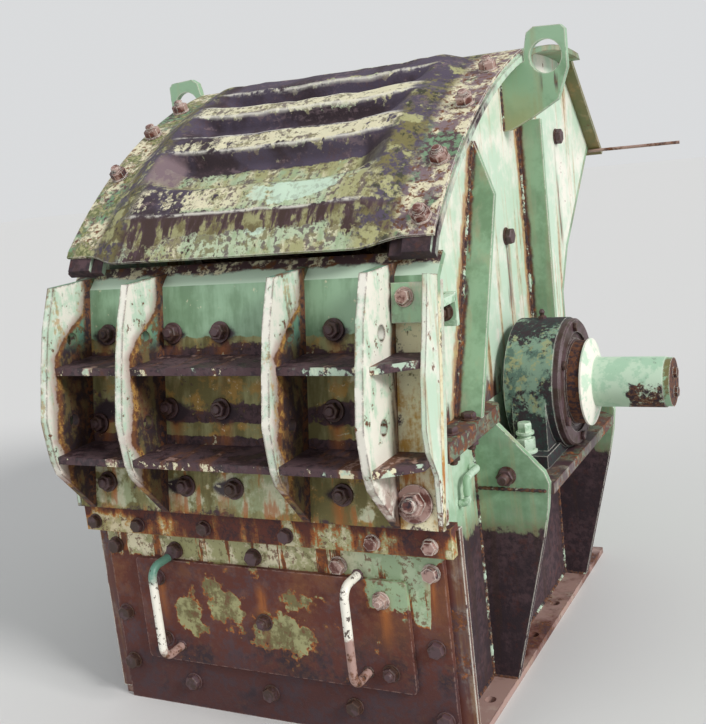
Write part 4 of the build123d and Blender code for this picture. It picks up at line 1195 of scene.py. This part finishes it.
def swage_height(at, pan, shoulder):
    """Height of the sheet above the arch at a distance from its front."""
    field = shoulder * SWAGE_HEIGHT
    valley = field - pan * (SWAGE_HEIGHT + VALLEY)
    line = [(0, shoulder * LIP_RISE)]
    for place, width in zip(SWAGE_PLACES, SWAGE_WIDTHS):
        if place > SWAGE_PLACES[0]:
            line.append((place - FRONT_FLANK, valley))
        line += [(place, field), (place + width, field), (place + width + BACK_FLANK, valley)]
    line[-1] = (line[-1][0], 0)
    line.append((COVER_END, 0))
    for (low, first), (high, second) in zip(line, line[1:]):
        if at <= high:
            return first + (second - first) * (at - low) / (high - low)
    return 0


def cover_height(x, at):
    """The same height with soft creases, crests that bend at their ends, and dents."""
    away = abs(x)
    pan = ease((SHOULDER_X + 8 - away) / (SHOULDER_X - PAN_X + 16))
    shoulder = ease((MARGIN_X + 4 - away) / (MARGIN_X - SHOULDER_X + 8))
    bend = CREST_BEND * ease((away - PAN_X + 60) / 110) * ease(at / 160)
    total = 0
    for offset in (-4, -2, 0, 2, 4):
        total += swage_height(min(COVER_END, max(0, at - bend + offset)), pan, shoulder) / 5
    here = Vector((x, at, 0))
    dent = 4 * noise.noise(here * 0.011) + 2.2 * noise.noise(here * 0.028 + Vector((9, 4, 2)))
    return total + dent * shoulder * ease(at / 40) * ease((COVER_END - at) / 60)


def round_arch(x, radius, angle):
    return Vector((x, ARCH_Y + radius * cos(angle), ARCH_Z + radius * sin(angle)))


def cover_point(x, at, inside):
    """Place on the cover's outer face, or on its inner face."""
    radius = ARCH_RADIUS + (0 if inside else COVER_THICKNESS)
    lift = cover_height(x, max(0, at))
    angle = radians(ARCH_FRONT) - max(0, at) / ARCH_RADIUS
    top = round_arch(x, radius + lift, angle)
    if at >= 0:
        return top
    shoulder = ease((MARGIN_X + 4 - abs(x)) / (MARGIN_X - SHOULDER_X + 8))
    reach = LIP_MARGIN_LENGTH + shoulder * (LIP_LENGTH - LIP_MARGIN_LENGTH)
    front = round_arch(x, radius, angle)
    out = Vector((0, -sin(LEG_ANGLE), cos(LEG_ANGLE)))
    foot = front - Vector((0, cos(LEG_ANGLE), sin(LEG_ANGLE))) * reach + out * LIP_PUSH * shoulder
    wave = 1.5 * noise.noise(Vector((x * 0.012, 3, 7))) * shoulder
    return top.lerp(foot + out * wave, -at)


def pressed_cover():
    """Outer and inner sheet on one grid, joined at the rim; the rows below 0 are the bent lip."""
    columns = [-FLANGE_X + 2 * FLANGE_X * k / COVER_COLUMNS for k in range(COVER_COLUMNS + 1)]
    rows = [-1, -0.66, -0.33] + [COVER_END * k / COVER_ROWS for k in range(COVER_ROWS + 1)]
    mesh = bmesh.new()
    sheets = []
    for inside in (False, True):
        grid = [[mesh.verts.new(cover_point(x, at, inside) * MM) for at in rows] for x in columns]
        for one, two in zip(grid, grid[1:]):
            for k in range(len(rows) - 1):
                corners = (one[k], two[k], two[k + 1], one[k + 1])
                mesh.faces.new(corners[::-1] if inside else corners)
        sheets.append(grid)
    outer, inner = sheets
    rim = [(k, 0) for k in range(len(columns))] + [(len(columns) - 1, k) for k in range(1, len(rows))]
    rim += [(k, len(rows) - 1) for k in range(len(columns) - 2, -1, -1)]
    rim += [(0, k) for k in range(len(rows) - 2, -1, -1)]
    for (a, b), (c, d) in zip(rim, rim[1:]):
        mesh.faces.new((outer[c][d], outer[a][b], inner[a][b], inner[c][d]))
    cover = piece("pressed_cover", mesh, cover_finish)
    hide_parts("top_cover")


pressed_cover()

# Pale floor
FLOOR_HALF = 20
mesh = bpy.data.meshes.new("floor")
corners = [(x * FLOOR_HALF, y * FLOOR_HALF, 0) for x, y in ((-1, -1), (1, -1), (1, 1), (-1, 1))]
mesh.from_pydata(corners, [], [(0, 1, 2, 3)])
floor_finish = bpy.data.materials.new("floor")
floor_finish.use_nodes = True
floor_shader = floor_finish.node_tree.nodes["Principled BSDF"]
floor_shader.inputs["Base Color"].default_value = (0.72, 0.71, 0.69, 1)
floor_shader.inputs["Roughness"].default_value = 0.9
mesh.materials.append(floor_finish)
floor = bpy.data.objects.new("floor", mesh)
scene.collection.objects.link(floor)
